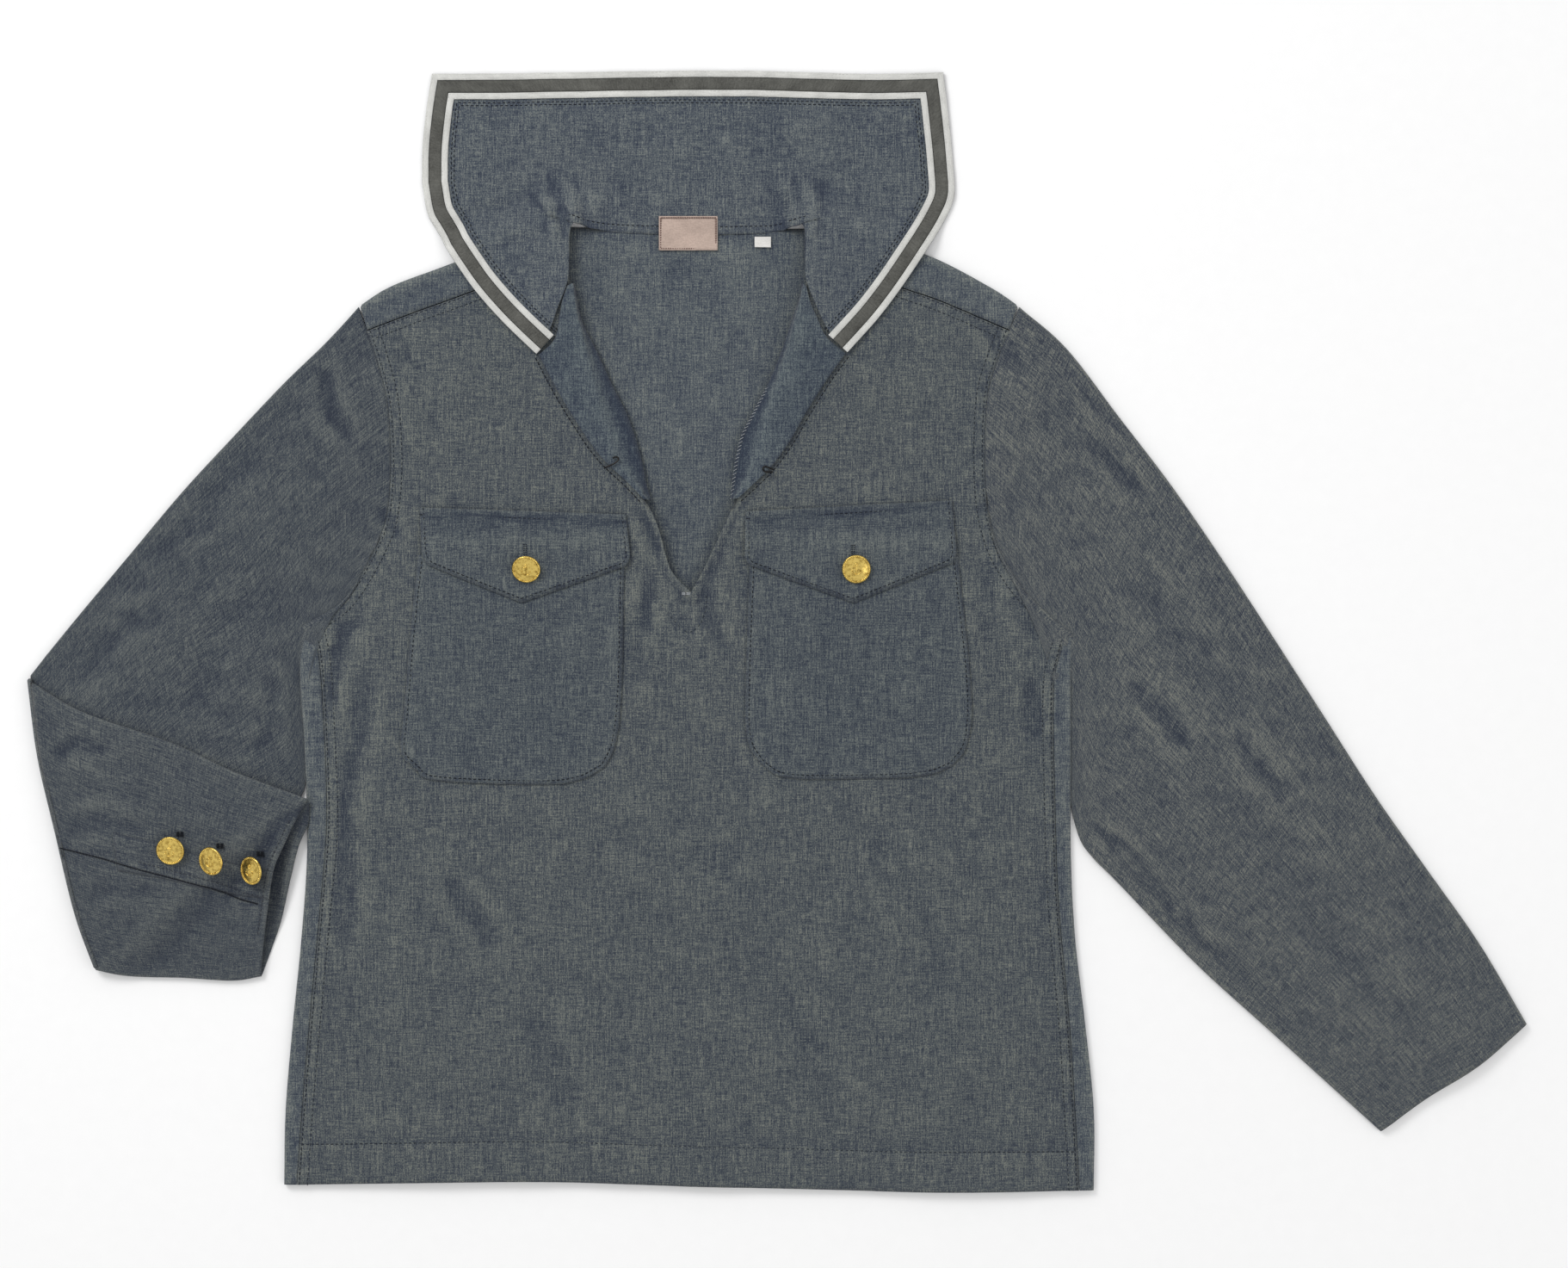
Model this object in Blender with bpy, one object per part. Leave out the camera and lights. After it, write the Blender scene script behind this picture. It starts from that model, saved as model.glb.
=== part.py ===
"""Sailor jumper laid flat on a table, right sleeve folded across. All tables are in millimetres:
x to the picture's right, y up from the hem, z up from the table. Right and left are the wearer's,
so the right half has negative x. Each piece of cloth is the grid of its outer face with a wall."""

import math

import bpy
import numpy as np

MM = 0.001
CENTRE = np.array([58.8, 387.0, 0.0])  # middle of the laid-out jumper
WALL = 1.2  # cloth as modelled, mm
TRIM_WALL = 1.0
SEAM_GAP = 0.35  # between two pieces sewn edge to edge or face to face
ROLL = 2.0  # outside radius of a side or shoulder fold
EDGE_HEIGHT = 2 * ROLL
BODY_RISE = 2.0  # how much higher the middle of the body is than its edges
COLLAR_LIFT = 1.0  # collar and facings above the front
CREST_WIDTH = 3.0  # from the front's edge at the V to the crest of the facing that rolls over it

# Outlines, x y
HEM_RIGHT = [(-284, 1), (-158, 3), (-92, 3), (0, 0)]
HEM_LEFT = [(0, 0), (82, -2), (154, -4), (208, -4), (281, -3)]
SIDE_RIGHT = [(-284, 1), (-283, 53), (-278, 113), (-272, 173), (-268, 236), (-270, 311), (-273, 358), (-270, 391)]
SIDE_LEFT = [(281, -3), (281, 53), (275, 113), (268, 173), (265, 233), (265, 317), (265, 358), (266, 385)]
SEAM_RIGHT = [(-275, 1), (-270, 71), (-259, 191), (-254, 259), (-257, 335), (-260, 372), (-264, 391)]
SEAM_LEFT = [(271, -3), (265, 101), (257, 191), (254, 263), (253, 346), (258, 372), (261, 385)]
ARMHOLE_RIGHT = [(-267, 391), (-243, 408), (-226, 433), (-213, 463), (-209, 500), (-211, 545), (-219, 577),
                 (-226, 597)]
ARMHOLE_LEFT = [(263, 385), (242, 405), (225, 425), (211, 453), (205, 490), (206, 547), (214, 577), (222, 597)]
SHOULDER_TIP_RIGHT = (-232, 613)
SHOULDER_TIP_LEFT = (229, 613)
FOLD_RIGHT = [(-232, 613), (-210, 627), (-176, 640), (-132, 656), (-86, 671)]
FOLD_LEFT = [(229, 613), (208, 627), (165, 649), (120, 661), (81, 670)]
SHOULDER_SEAM_RIGHT = [(-226, 597), (-192, 610), (-153, 624), (-86, 649)]
SHOULDER_SEAM_LEFT = [(222, 597), (175, 617), (149, 626), (82, 649)]
BACK_NECK = [(-86, 671), (-62, 665.4), (-2, 663), (40, 663.5), (59, 664.4), (81, 670)]
CREST_RIGHT = [(0, 414), (-11, 430), (-20, 460), (-28, 476), (-39, 489), (-51, 506), (-61, 536), (-69, 567),
               (-77, 602), (-82, 627), (-86, 649)]
CREST_LEFT = [(0, 414), (6, 430), (20, 460), (28, 476), (37, 487), (46, 501), (53, 532), (61, 562), (70, 594),
              (77, 621), (82, 649)]
FACING_OUT_RIGHT = [(-33, 478.5), (-44, 490), (-56, 501), (-66, 512), (-79, 531), (-94, 556), (-106, 579)]
FACING_SEAM_RIGHT = [(-106, 579), (-94.6, 590), (-91.0, 607), (-89.3, 617), (-85.8, 626.5)]
FACING_IN_RIGHT = [(-27.8, 478.5), (-31, 490), (-34, 505), (-39, 523), (-45, 539), (-55, 559), (-65, 581),
                   (-76, 603), (-80, 622), (-81.5, 629)]
FACING_OUT_LEFT = [(33, 479), (45, 490), (56, 501), (69, 519), (81, 540), (95, 562), (108, 580)]
FACING_SEAM_LEFT = [(108, 580), (94.2, 592), (88.8, 603), (83.5, 615), (80.3, 626.5)]
FACING_IN_LEFT = [(27.5, 479), (29, 493), (31, 506), (35, 523), (41, 535), (53, 558), (63, 582), (71, 606),
                  (76, 621), (77, 629)]

# Collar: each row is one length of its border, from the right front end round to the left one, with
# how many cells it has, the outside line and the neck line that faces it
COLLAR_SECTIONS = [
    (6, [(-107.5, 579.5), (-130, 601), (-152, 626), (-171, 654)], [(-98.6, 594.5), (-93, 610), (-85.5, 630), (-84.5, 645)]),
    (6, [(-171, 654), (-176, 664), (-184, 678), (-188, 700)], [(-84.5, 645), (-83, 669.5), (-70, 667.8)]),
    (3, [(-188, 700), (-187, 735), (-181, 776)], [(-70, 667.8), (-52, 665)]),
    (8, [(-181, 776), (-146, 776), (-17, 778), (46, 778), (118, 776), (176, 777)], [(-52, 665), (-2, 663.6), (50, 664.4)]),
    (3, [(176, 777), (181, 735), (184, 700)], [(50, 664.4), (66, 667)]),
    (6, [(184, 700), (183, 687), (175, 670), (166, 655)], [(66, 667), (78, 669.5), (79.5, 645)]),
    (6, [(166, 655), (148, 628), (130, 604), (109, 580.5)], [(79.5, 645), (80.5, 630), (90.6, 605.5), (96.6, 594)]),
]
TAPE_LINES = [0.0, 4.8, 13.4, 18.2]  # how far in from the collar's edge each tape or band starts and ends

# Sleeves. Upper edge, lower edge: the lower one starts at the underarm and runs under the body
SLEEVE_RIGHT_UPPER = [(-232, 613), (-254, 589), (-284, 560), (-320, 522), (-356, 483), (-392, 440), (-428, 397),
                      (-463, 354)]
SLEEVE_RIGHT_LOWER = [(-272, 390), (-276.5, 374), (-276.4, 345), (-273.2, 311), (-272, 286), (-281, 264), (-330, 225),
                      (-416, 151)]
ELBOW_FOLD = [(-463, 354), (-456, 300), (-444, 248), (-430, 190), (-416, 151)]
FOREARM_UPPER = [(-463, 354), (-424, 331), (-363, 310), (-317, 289), (-266, 270)]
FOREARM_LOWER = [(-416, 151), (-392, 146), (-356, 145), (-320, 143), (-300, 146)]
CUFF_MOUTH_TOP = [(-266, 270), (-275, 255), (-283, 238), (-290, 222), (-294, 200), (-298, 174), (-301, 146)]
CUFF_MOUTH_UNDER = [(-260, 269), (-261, 252), (-268, 237), (-275, 212), (-282, 186), (-290, 165), (-297, 147)]
SLEEVE_LEFT_UPPER = [(229, 613), (262, 584), (298, 537), (334, 490), (370, 438), (406, 383), (442, 327), (478, 271),
                     (514, 220), (550, 169), (583, 113)]
SLEEVE_LEFT_LOWER = [(267.3, 384), (267, 360), (267, 320), (267, 275), (270, 244), (280, 229),
                     (298, 211), (352, 155), (406, 106), (481, 38)]
UNDERARM_CUT_RIGHT = [(-235, 367.8), (-271.6, 369.4), (-272.3, 384.3), (-269.6, 396), (-262.2, 398.8),
                      (-244.8, 410.9), (-235, 414.5)]  # clears the body's corner from the sleeve
UNDERARM_CUT_LEFT = [(235, 340), (266.0, 340), (266.8, 391.8), (258, 394), (242.6, 407), (233, 412)]
CUFF_LEFT = [(583, 113), (550, 85), (514, 62), (481, 38)]

# Pockets and flaps: lower, upper, right and left edges
POCKETS = {
    "right": dict(low=[(-193, 292), (-178, 283), (-106, 280), (-78, 283), (-60, 292)], high=[(-190, 440), (-46, 440)],
                  left=[(-193, 292), (-202, 303), (-200, 330), (-195, 389), (-190, 440)],
                  right=[(-60, 292), (-52, 310), (-48, 349), (-46, 440)]),
    "left": dict(low=[(48, 295), (66, 285), (115, 284), (161, 286), (182, 293)], high=[(41, 440), (186, 440)],
                 left=[(48, 295), (39, 312), (38, 349), (41, 440)],
                 right=[(182, 293), (193, 310), (195, 349), (186, 440)]),
}
FLAPS = {
    "right": dict(low=[(-190, 437), (-162, 424), (-118, 407), (-80, 422), (-42, 434)], high=[(-189, 473), (-45, 468)],
                  left=[(-190, 437), (-189, 473)], right=[(-42, 434), (-45, 468)]),
    "left": dict(low=[(37, 434), (75, 420), (113, 407), (150, 421), (186, 436)], high=[(38, 470), (182, 478)],
                 left=[(37, 434), (38, 470)], right=[(186, 436), (182, 478)]),
}

# Buttons: name, middle x y, tilt in degrees and the direction that the raised edge points to. Those on
# the cuff end with their height above the forearm
POCKET_BUTTONS = [("pocket_button_right", -114, 430, 24, 90), ("pocket_button_left", 115, 430, 10, 90)]
CUFF_BUTTONS = [("cuff_button_1", -360, 235, 12, 60, 0.35), ("cuff_button_2", -331, 228, 28, 20, 0.5),
                ("cuff_button_3", -304, 221, 35, 10, 1.0)]
BUTTON_RADIUS = 10.0
BUTTON_SIDES = 20
BUTTON_PROFILE = [(1.6, 0.0), (9.2, 0.0), (10.0, 0.7), (9.7, 1.6), (8.6, 1.7), (5.0, 2.6)]  # radius, height
BUTTON_DOME = 3.0

# Hook and eye, bent wires on the facings, x y
HOOK = [(-60, 500), (-56.5, 501.5), (-53, 503.2), (-50.5, 505.2), (-50.2, 507), (-52, 507.8), (-54, 506.8)]
EYE = [(57.5, 499.0), (54.5, 500.2), (51.5, 501.2), (50.2, 499.6), (51.2, 497.8), (54.2, 497.2), (57.2, 497.4)]

COLOURS = {  # name: colour, roughness, metallic
    "chambray": ((0.085, 0.105, 0.125), 0.85, 0.0),
    "border_band": ((0.07, 0.07, 0.065), 0.85, 0.0),
    "white_tape": ((0.56, 0.56, 0.54), 0.8, 0.0),
    "label_cloth": ((0.42, 0.32, 0.28), 0.7, 0.0),
    "tag_cloth": ((0.75, 0.74, 0.72), 0.7, 0.0),
    "brass": ((0.58, 0.44, 0.16), 0.35, 1.0),
    "black_metal": ((0.03, 0.03, 0.03), 0.4, 1.0),
}


# Lines and grids
def line(table):
    return np.array(table, float)


def curve(table, cells):
    """cells + 1 points evenly spaced on a smooth line through the table."""
    points = line(table)
    if len(points) > 2:
        ends = np.vstack([2 * points[0] - points[1], points, 2 * points[-1] - points[-2]])
        t = np.linspace(0, 1, 8, endpoint=False)[:, None]
        pieces = [0.5 * (2 * b + (c - a) * t + (2 * a - 5 * b + 4 * c - d) * t**2 + (3 * b - a - 3 * c + d) * t**3)
                  for a, b, c, d in zip(ends, ends[1:], ends[2:], ends[3:])]
        points = np.vstack([*pieces, points[-1:]])
    run = np.concatenate([[0], np.cumsum(np.linalg.norm(np.diff(points, axis=0), axis=1))])
    at = np.linspace(0, run[-1], cells + 1)
    return np.column_stack([np.interp(at, run, points[:, k]) for k in range(points.shape[1])])


def chain(*lines):
    return np.vstack([lines[0], *[more[1:] for more in lines[1:]]])


def patch(low, high, left, right, power=1, shares=None):
    """Grid of rows and columns between four edge lines, rows from low to high. A higher power
    leaves the shape of the low line behind sooner. The shares are the columns' places."""
    u = (np.linspace(0, 1, len(low)) if shares is None else shares)[None, :, None]
    v = 1 - (1 - np.linspace(0, 1, len(left))[:, None, None]) ** power
    ruled = (1 - v) * low[None] + v * high[None] + (1 - u) * left[:, None] + u * right[:, None]
    corners = (1 - u) * (1 - v) * low[0] + u * (1 - v) * low[-1] + (1 - u) * v * high[0] + u * v * high[-1]
    return ruled - corners


def raised(grid, height):
    """The flat grid with its z from height(x, y)."""
    x, y = grid[..., 0], grid[..., 1]
    return np.stack([x, y, height(x, y) * np.ones_like(x)], -1)


def unit(v):
    return v / np.linalg.norm(v, axis=-1, keepdims=True)


def step(t):
    t = np.clip(t, 0, 1)
    return t * t * (3 - 2 * t)


def distance(x, y, table):
    start, end = line(table)[:-1], line(table)[1:]
    p = np.stack([x, y], -1)[..., None, :]
    along = end - start
    t = np.clip(((p - start) * along).sum(-1) / (along * along).sum(-1), 0, 1)
    return np.linalg.norm(p - start - t[..., None] * along, axis=-1).min(-1)


def inset(outline, by):
    """The outline moved to its left by this much, with mitred corners."""
    ahead = unit(np.diff(outline, axis=0))
    before, after = np.vstack([ahead[:1], ahead]), np.vstack([ahead, ahead[-1:]])
    left = np.stack([-before[:, 1] - after[:, 1], before[:, 0] + after[:, 0]], -1)
    left = unit(left)
    lean = (left * np.stack([-before[:, 1], before[:, 0]], -1)).sum(-1, keepdims=True)
    return outline + left * by / lean


# Heights
def body_top(x, y):
    """Top of the front, and of the strips of the back that wrap onto it."""
    edge = np.minimum.reduce([distance(x, y, table) for table in (SIDE_RIGHT, SIDE_LEFT, FOLD_RIGHT, FOLD_LEFT)])
    rise = BODY_RISE * step((edge - 8) / 70) * (0.5 + 0.5 * step(y / 50))
    crest = np.minimum(distance(x, y, CREST_RIGHT), distance(x, y, CREST_LEFT))
    lip = 3.6 * step((y - 405) / 70) * np.exp(-((crest / 22) ** 2))
    return EDGE_HEIGHT + rise + lip


def fold_y(x):
    """y of the shoulder fold line, carried across the neck."""
    table = line(FOLD_RIGHT + FOLD_LEFT[::-1])
    return np.interp(x, table[:, 0], table[:, 1])


def collar_top(x, y):
    """The collar lies on the front, goes over the shoulder fold and down to the table behind the neck."""
    over = body_top(x, np.minimum(y, fold_y(x))) + COLLAR_LIFT + WALL
    beyond = 0.93 * (y - fold_y(x))
    side = over + (WALL - over) * step((beyond - 3) / 26)
    return WALL + (side - WALL) * step((np.abs(x) - 56) / 26)


def on_front(x, y):
    return body_top(x, y) + COLLAR_LIFT + WALL


# Solids
def material(name):
    colour, roughness, metallic = COLOURS[name]
    made = bpy.data.materials.get(name)
    if made is None:
        made = bpy.data.materials.new(name)
        made.use_nodes = True
        shader = made.node_tree.nodes["Principled BSDF"]
        shader.inputs["Base Color"].default_value = (*colour, 1)
        shader.inputs["Roughness"].default_value = roughness
        shader.inputs["Metallic"].default_value = metallic
        made.diffuse_color = (*colour, 1)
    return made


def add(name, look, points, faces):
    mesh = bpy.data.meshes.new(name)
    mesh.from_pydata((MM * (np.asarray(points) - CENTRE)).tolist(), [], faces)
    mesh.materials.append(material(look))
    bpy.context.scene.collection.objects.link(bpy.data.objects.new(name, mesh))


def cloth(name, look, grids, wall=WALL, outside_down=False):
    """One piece of cloth: grids of its outer face, welded, with an inner face a wall away and a rim."""
    index, points, quads = {}, [], []
    for grid in grids:
        ids = np.zeros(grid.shape[:2], int)
        for place in np.ndindex(*grid.shape[:2]):
            key = tuple(np.round(grid[place], 3))
            if key not in index:
                index[key] = len(points)
                points.append(grid[place])
            ids[place] = index[key]
        for r, c in np.ndindex(grid.shape[0] - 1, grid.shape[1] - 1):
            a, b, c, d = ids[r, c], ids[r, c + 1], ids[r + 1, c + 1], ids[r + 1, c]
            quads.append([a, d, c, b] if outside_down else [a, b, c, d])
    points = np.array(points)
    normals = np.zeros_like(points)
    for quad in quads:
        a, b, c, d = points[quad]
        normals[quad] += np.cross(c - a, d - b)
    inner = points - wall * unit(normals)
    inner[:, 2] = np.maximum(inner[:, 2], 0)
    count = len(points)
    edges = {(quad[k], quad[(k + 1) % 4]) for quad in quads for k in range(4)}
    rim = [[b, a, a + count, b + count] for a, b in sorted(edges) if (b, a) not in edges]
    outer = [half for a, b, c, d in quads for half in ([a, b, c], [a, c, d])]
    faces = outer + [[corner + count for corner in half[::-1]] for half in outer] + rim
    add(name, look, np.vstack([points, inner]), faces)


def turned(name, look, middle, tilt, toward, shank):
    """A brass button: profile turned about its own axis, tilted so that the edge at angle toward is raised."""
    profile = [(1.6, -shank), *BUTTON_PROFILE]
    points = [(0.0, 0.0, -shank), (0.0, 0.0, BUTTON_DOME)]
    for radius, height in profile:
        for k in range(BUTTON_SIDES):
            turn = 2 * math.pi * k / BUTTON_SIDES
            points.append((radius * math.cos(turn), radius * math.sin(turn), height))
    faces = []
    for k in range(BUTTON_SIDES):
        after = (k + 1) % BUTTON_SIDES
        faces.append([0, 2 + after, 2 + k])
        last = 2 + BUTTON_SIDES * (len(profile) - 1)
        faces.append([1, last + k, last + after])
        for row in range(len(profile) - 1):
            low, high = 2 + BUTTON_SIDES * row, 2 + BUTTON_SIDES * (row + 1)
            faces.append([low + k, low + after, high + after, high + k])
    tilt, toward = math.radians(tilt), math.radians(toward)
    ahead = np.array([math.cos(toward), math.sin(toward), 0])
    aside = np.array([-ahead[1], ahead[0], 0])
    local = np.array(points)
    along, across = local @ np.append(ahead[:2], 0), local @ np.append(aside[:2], 0)
    up = np.array([-math.sin(tilt) * ahead[0], -math.sin(tilt) * ahead[1], math.cos(tilt)])
    lean = math.cos(tilt) * ahead + np.array([0, 0, math.sin(tilt)])
    add(name, look, middle + along[:, None] * lean + across[:, None] * aside + local[:, 2:] * up, faces)


def wire(name, look, path, radius=0.5, sides=6):
    """A bent wire with closed ends."""
    path = line(path)
    ahead = unit(np.gradient(path, axis=0))
    side = unit(np.cross(ahead, [0, 0, 1.0]))
    up = np.cross(side, ahead)
    turns = 2 * math.pi * np.arange(sides) / sides
    rings = [p + radius * (np.cos(turns)[:, None] * s + np.sin(turns)[:, None] * u) for p, s, u in zip(path, side, up)]
    faces = [[r * sides + k, r * sides + (k + 1) % sides, (r + 1) * sides + (k + 1) % sides, (r + 1) * sides + k]
             for r in range(len(path) - 1) for k in range(sides)]
    faces = [face[::-1] for face in faces]
    faces += [list(range(sides)), [(len(path) - 1) * sides + k for k in range(sides)][::-1]]
    add(name, look, np.vstack(rings), faces)


# Body
SIDE_ROWS, ARM_ROWS = 11, 8
HALF_COLUMNS = 8


def front_panel():
    halves = []
    for side, seam, armhole, shoulder, hem, crest in (
            (-1, SEAM_RIGHT, ARMHOLE_RIGHT, SHOULDER_SEAM_RIGHT, HEM_RIGHT, CREST_RIGHT),
            (1, SEAM_LEFT, ARMHOLE_LEFT, SHOULDER_SEAM_LEFT, HEM_LEFT, CREST_LEFT)):
        seam = [(x - side * SEAM_GAP, y) for x, y in seam]
        armhole = [seam[-1]] + [(x, y) for x, y in armhole[1:]]
        shoulder = [(x, y - SEAM_GAP - 0.5) for x, y in shoulder]
        armhole[-1] = shoulder[0]
        crest = [crest[0]] + [(x + side * CREST_WIDTH, y) for x, y in crest[1:]]
        crest[-1] = (crest[-1][0], crest[-1][1] - 0.37 * CREST_WIDTH - SEAM_GAP - 0.5)
        hem = [(x, y) for x, y in hem]
        hem[0 if side < 0 else -1] = seam[0]
        outer = chain(curve(seam, SIDE_ROWS), curve(armhole, ARM_ROWS))
        centre = hem[-1] if side < 0 else hem[0]
        inner = chain(curve([centre, crest[0]], SIDE_ROWS), curve(crest, ARM_ROWS))
        low, high = curve(hem, HALF_COLUMNS), curve(shoulder, HALF_COLUMNS)
        if side < 0:
            high[-1] = inner[-1]
            flat = patch(low, high, outer, inner)
        else:
            high = high[::-1]
            high[0] = inner[-1]
            flat = patch(low, high, inner, outer)
        halves.append(raised(flat, body_top))
    cloth("front_panel", "chambray", halves)


def wrap(edge, outward, seam):
    """Points round a fold, from the edge of the flat part to the seam on top: [place][step]."""
    steps = []
    for turn in (60, 120, 180):
        turn = math.radians(turn)
        place = edge + outward * ROLL * math.sin(turn)
        steps.append(np.column_stack([place, np.full(len(place), ROLL * (1 - math.cos(turn)))]))
    steps.append(np.column_stack([seam, body_top(seam[:, 0], seam[:, 1])]))
    return np.stack(steps, 1)


def back_panel():
    outlines = []
    for side, edge, armhole, seam in ((-1, SIDE_RIGHT, ARMHOLE_RIGHT, SEAM_RIGHT),
                                      (1, SIDE_LEFT, ARMHOLE_LEFT, SEAM_LEFT)):
        tip = FOLD_RIGHT[0] if side < 0 else FOLD_LEFT[0]
        inner_edge = [(x - side * ROLL, y) for x, y in edge]
        fold_edge = [inner_edge[-1], *armhole[1:-1], (tip[0] - side * ROLL, tip[1] - ROLL)]
        outlines.append(chain(curve(inner_edge, SIDE_ROWS), curve(fold_edge, ARM_ROWS)))
    shoulder_cells, neck_cells = HALF_COLUMNS, 6
    fold_r = curve([(x, y - ROLL) for x, y in FOLD_RIGHT], shoulder_cells)
    fold_l = curve([(x, y - ROLL) for x, y in FOLD_LEFT[::-1]], shoulder_cells)
    fold_r[0], fold_l[-1] = outlines[0][-1], outlines[1][-1]
    neck = curve([tuple(fold_r[-1]), *[(x, y - SEAM_GAP) for x, y in BACK_NECK[1:-1]], tuple(fold_l[0])], neck_cells)
    high = chain(fold_r, neck, fold_l)
    low = curve([tuple(outlines[0][0]), *HEM_RIGHT[1:], *HEM_LEFT[1:-1], tuple(outlines[1][0])], len(high) - 1)
    flat = raised(patch(low, high, outlines[0], outlines[1]), lambda x, y: 0)
    rows, columns = flat.shape[:2]
    pieces = [flat]
    for side, column, seam in ((-1, 0, SEAM_RIGHT), (1, -1, SEAM_LEFT)):
        edge = flat[: SIDE_ROWS + 1, column, :2]
        place = wrap(edge, np.array([[float(side), 0.0]]), curve(seam, SIDE_ROWS))
        place = np.concatenate([flat[: SIDE_ROWS + 1, column][:, None], place], 1)
        pieces.append(place[:, ::-1] if side < 0 else place)
    for side, where, seam in ((-1, slice(0, shoulder_cells + 1), SHOULDER_SEAM_RIGHT),
                              (1, slice(columns - shoulder_cells - 1, columns), SHOULDER_SEAM_LEFT[::-1])):
        edge = flat[-1, where, :2]
        place = wrap(edge, np.array([[side * 0.36, 0.93]]), curve(seam, shoulder_cells))
        place = np.concatenate([flat[-1, where][:, None], place], 1)
        pieces.append(np.swapaxes(place, 0, 1))
    cloth("back_panel", "chambray", pieces, outside_down=True)


# Sleeves
SLEEVE_CELLS = 8
SLEEVE_SHARES = np.array([0, 0.14, 0.28, 0.43, 0.58, 0.71, 0.83, 0.93, 1])  # closer by the lower edge


def ring(up_line, under_line, normal, height):
    """One closed ring of a flattened tube: along the upper layer, round the lower edge, back and round."""
    normal = unit(np.asarray(normal, float)) * np.ones((len(up_line), 1))
    half = height[:, None] / 2
    points = list(up_line + normal * half)
    for end, before, after in ((-1, -2, None), (0, 1, None)):
        middle = (up_line[end] + under_line[end]) / 2
        out = unit(middle - (up_line[before] + under_line[before]) / 2)
        for turn in (60, 120):
            turn = math.radians(turn if end else 180 - turn)
            points.append(middle + half[end] * (out * math.sin(turn) + normal[end] * math.cos(turn)))
        if end:
            points.extend((under_line - normal * half)[::-1])
    points.append(points[0])
    return np.array(points)


def across(table):
    """Points on the line at the places of SLEEVE_SHARES."""
    points = curve(table, 200)
    return np.column_stack([np.interp(SLEEVE_SHARES, np.linspace(0, 1, 201), points[:, k]) for k in (0, 1)])


def inset_ends(row, by=ROLL):
    """The row of points with both ends moved in along it, for the round edges of the tube."""
    row = row.copy()
    row[0] += unit(row[1] - row[0]) * by
    row[-1] += unit(row[-2] - row[-1]) * by
    return row


def trimmed(name, outline):
    """Cuts an upright prism on this outline out of the piece."""
    turn = outline if outline[0][0] > 0 else outline[::-1]
    count = len(turn)
    points = [(x, y, z) for z in (-5.0, 20.0) for x, y in turn]
    faces = [list(range(count))[::-1], [count + k for k in range(count)]]
    faces += [[k, (k + 1) % count, count + (k + 1) % count, count + k] for k in range(count)]
    add(name + "_cut", "chambray", points, faces)
    cutter = bpy.data.objects[name + "_cut"]
    cutter.hide_render = True
    cutter.display_type = "WIRE"
    cut = bpy.data.objects[name].modifiers.new("underarm", "BOOLEAN")
    cut.operation, cut.solver, cut.object = "DIFFERENCE", "MANIFOLD", cutter


def armhole_ring(armhole, underarm, tip, side):
    """The sleeve's line along the armhole, from the shoulder down."""
    moved = [(x + side * 3 * SEAM_GAP, y + 2 * SEAM_GAP) for x, y in [*armhole[1:], tip]]
    return across([underarm, *moved][::-1])


def sleeve_height(x, y, upper, lower):
    """Height of the upper layer: low at both edges."""
    edge = np.minimum(distance(x, y, upper), distance(x, y, lower))
    return EDGE_HEIGHT + BODY_RISE * step((edge - 4) / 60)


def flat_rings(grid, height):
    """Rings of a sleeve on the table. The first one is at the body's height."""
    rings = []
    for place, row in enumerate(grid):
        row = inset_ends(row)
        x, y = row[:, 0], row[:, 1]
        tall = height(x, y) if place else body_top(x, y)
        middle = np.column_stack([row, tall / 2])
        rings.append(ring(middle, middle, (0, 0, 1), tall))
    return rings


def sleeve_left():
    arm = armhole_ring(ARMHOLE_LEFT, SLEEVE_LEFT_LOWER[0], SHOULDER_TIP_LEFT, 1)
    upper, lower = curve(SLEEVE_LEFT_UPPER, 14), curve(SLEEVE_LEFT_LOWER, 14)
    upper[0], lower[0] = arm[0], arm[-1]
    grid = patch(arm, across(CUFF_LEFT), upper, lower, 40, SLEEVE_SHARES)
    rings = flat_rings(grid, lambda x, y: sleeve_height(x, y, SLEEVE_LEFT_UPPER, SLEEVE_LEFT_LOWER))
    cloth("sleeve_left", "chambray", [np.array(rings)])
    trimmed("sleeve_left", UNDERARM_CUT_LEFT)


HIDDEN_LOWER = line([(-419, 152), (-268, 276)])


def fold_distance(x, y):
    return distance(x, y, ELBOW_FOLD)


def forearm_base(x, y):
    """Under side of the forearm: on the upper arm, down to the table beyond it, up over the body's edge."""
    away = unit(HIDDEN_LOWER[1] - HIDDEN_LOWER[0])
    beyond = (x - HIDDEN_LOWER[0, 0]) * away[1] - (y - HIDDEN_LOWER[0, 1]) * away[0]
    resting = 4.2 + 2.6 * step(fold_distance(x, y) / 60)
    resting = resting * (1 - step((beyond - 3) / 26))
    over_body = (EDGE_HEIGHT + 0.6) * step((x + 292) / 16)
    return np.maximum(resting, over_body)


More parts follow.
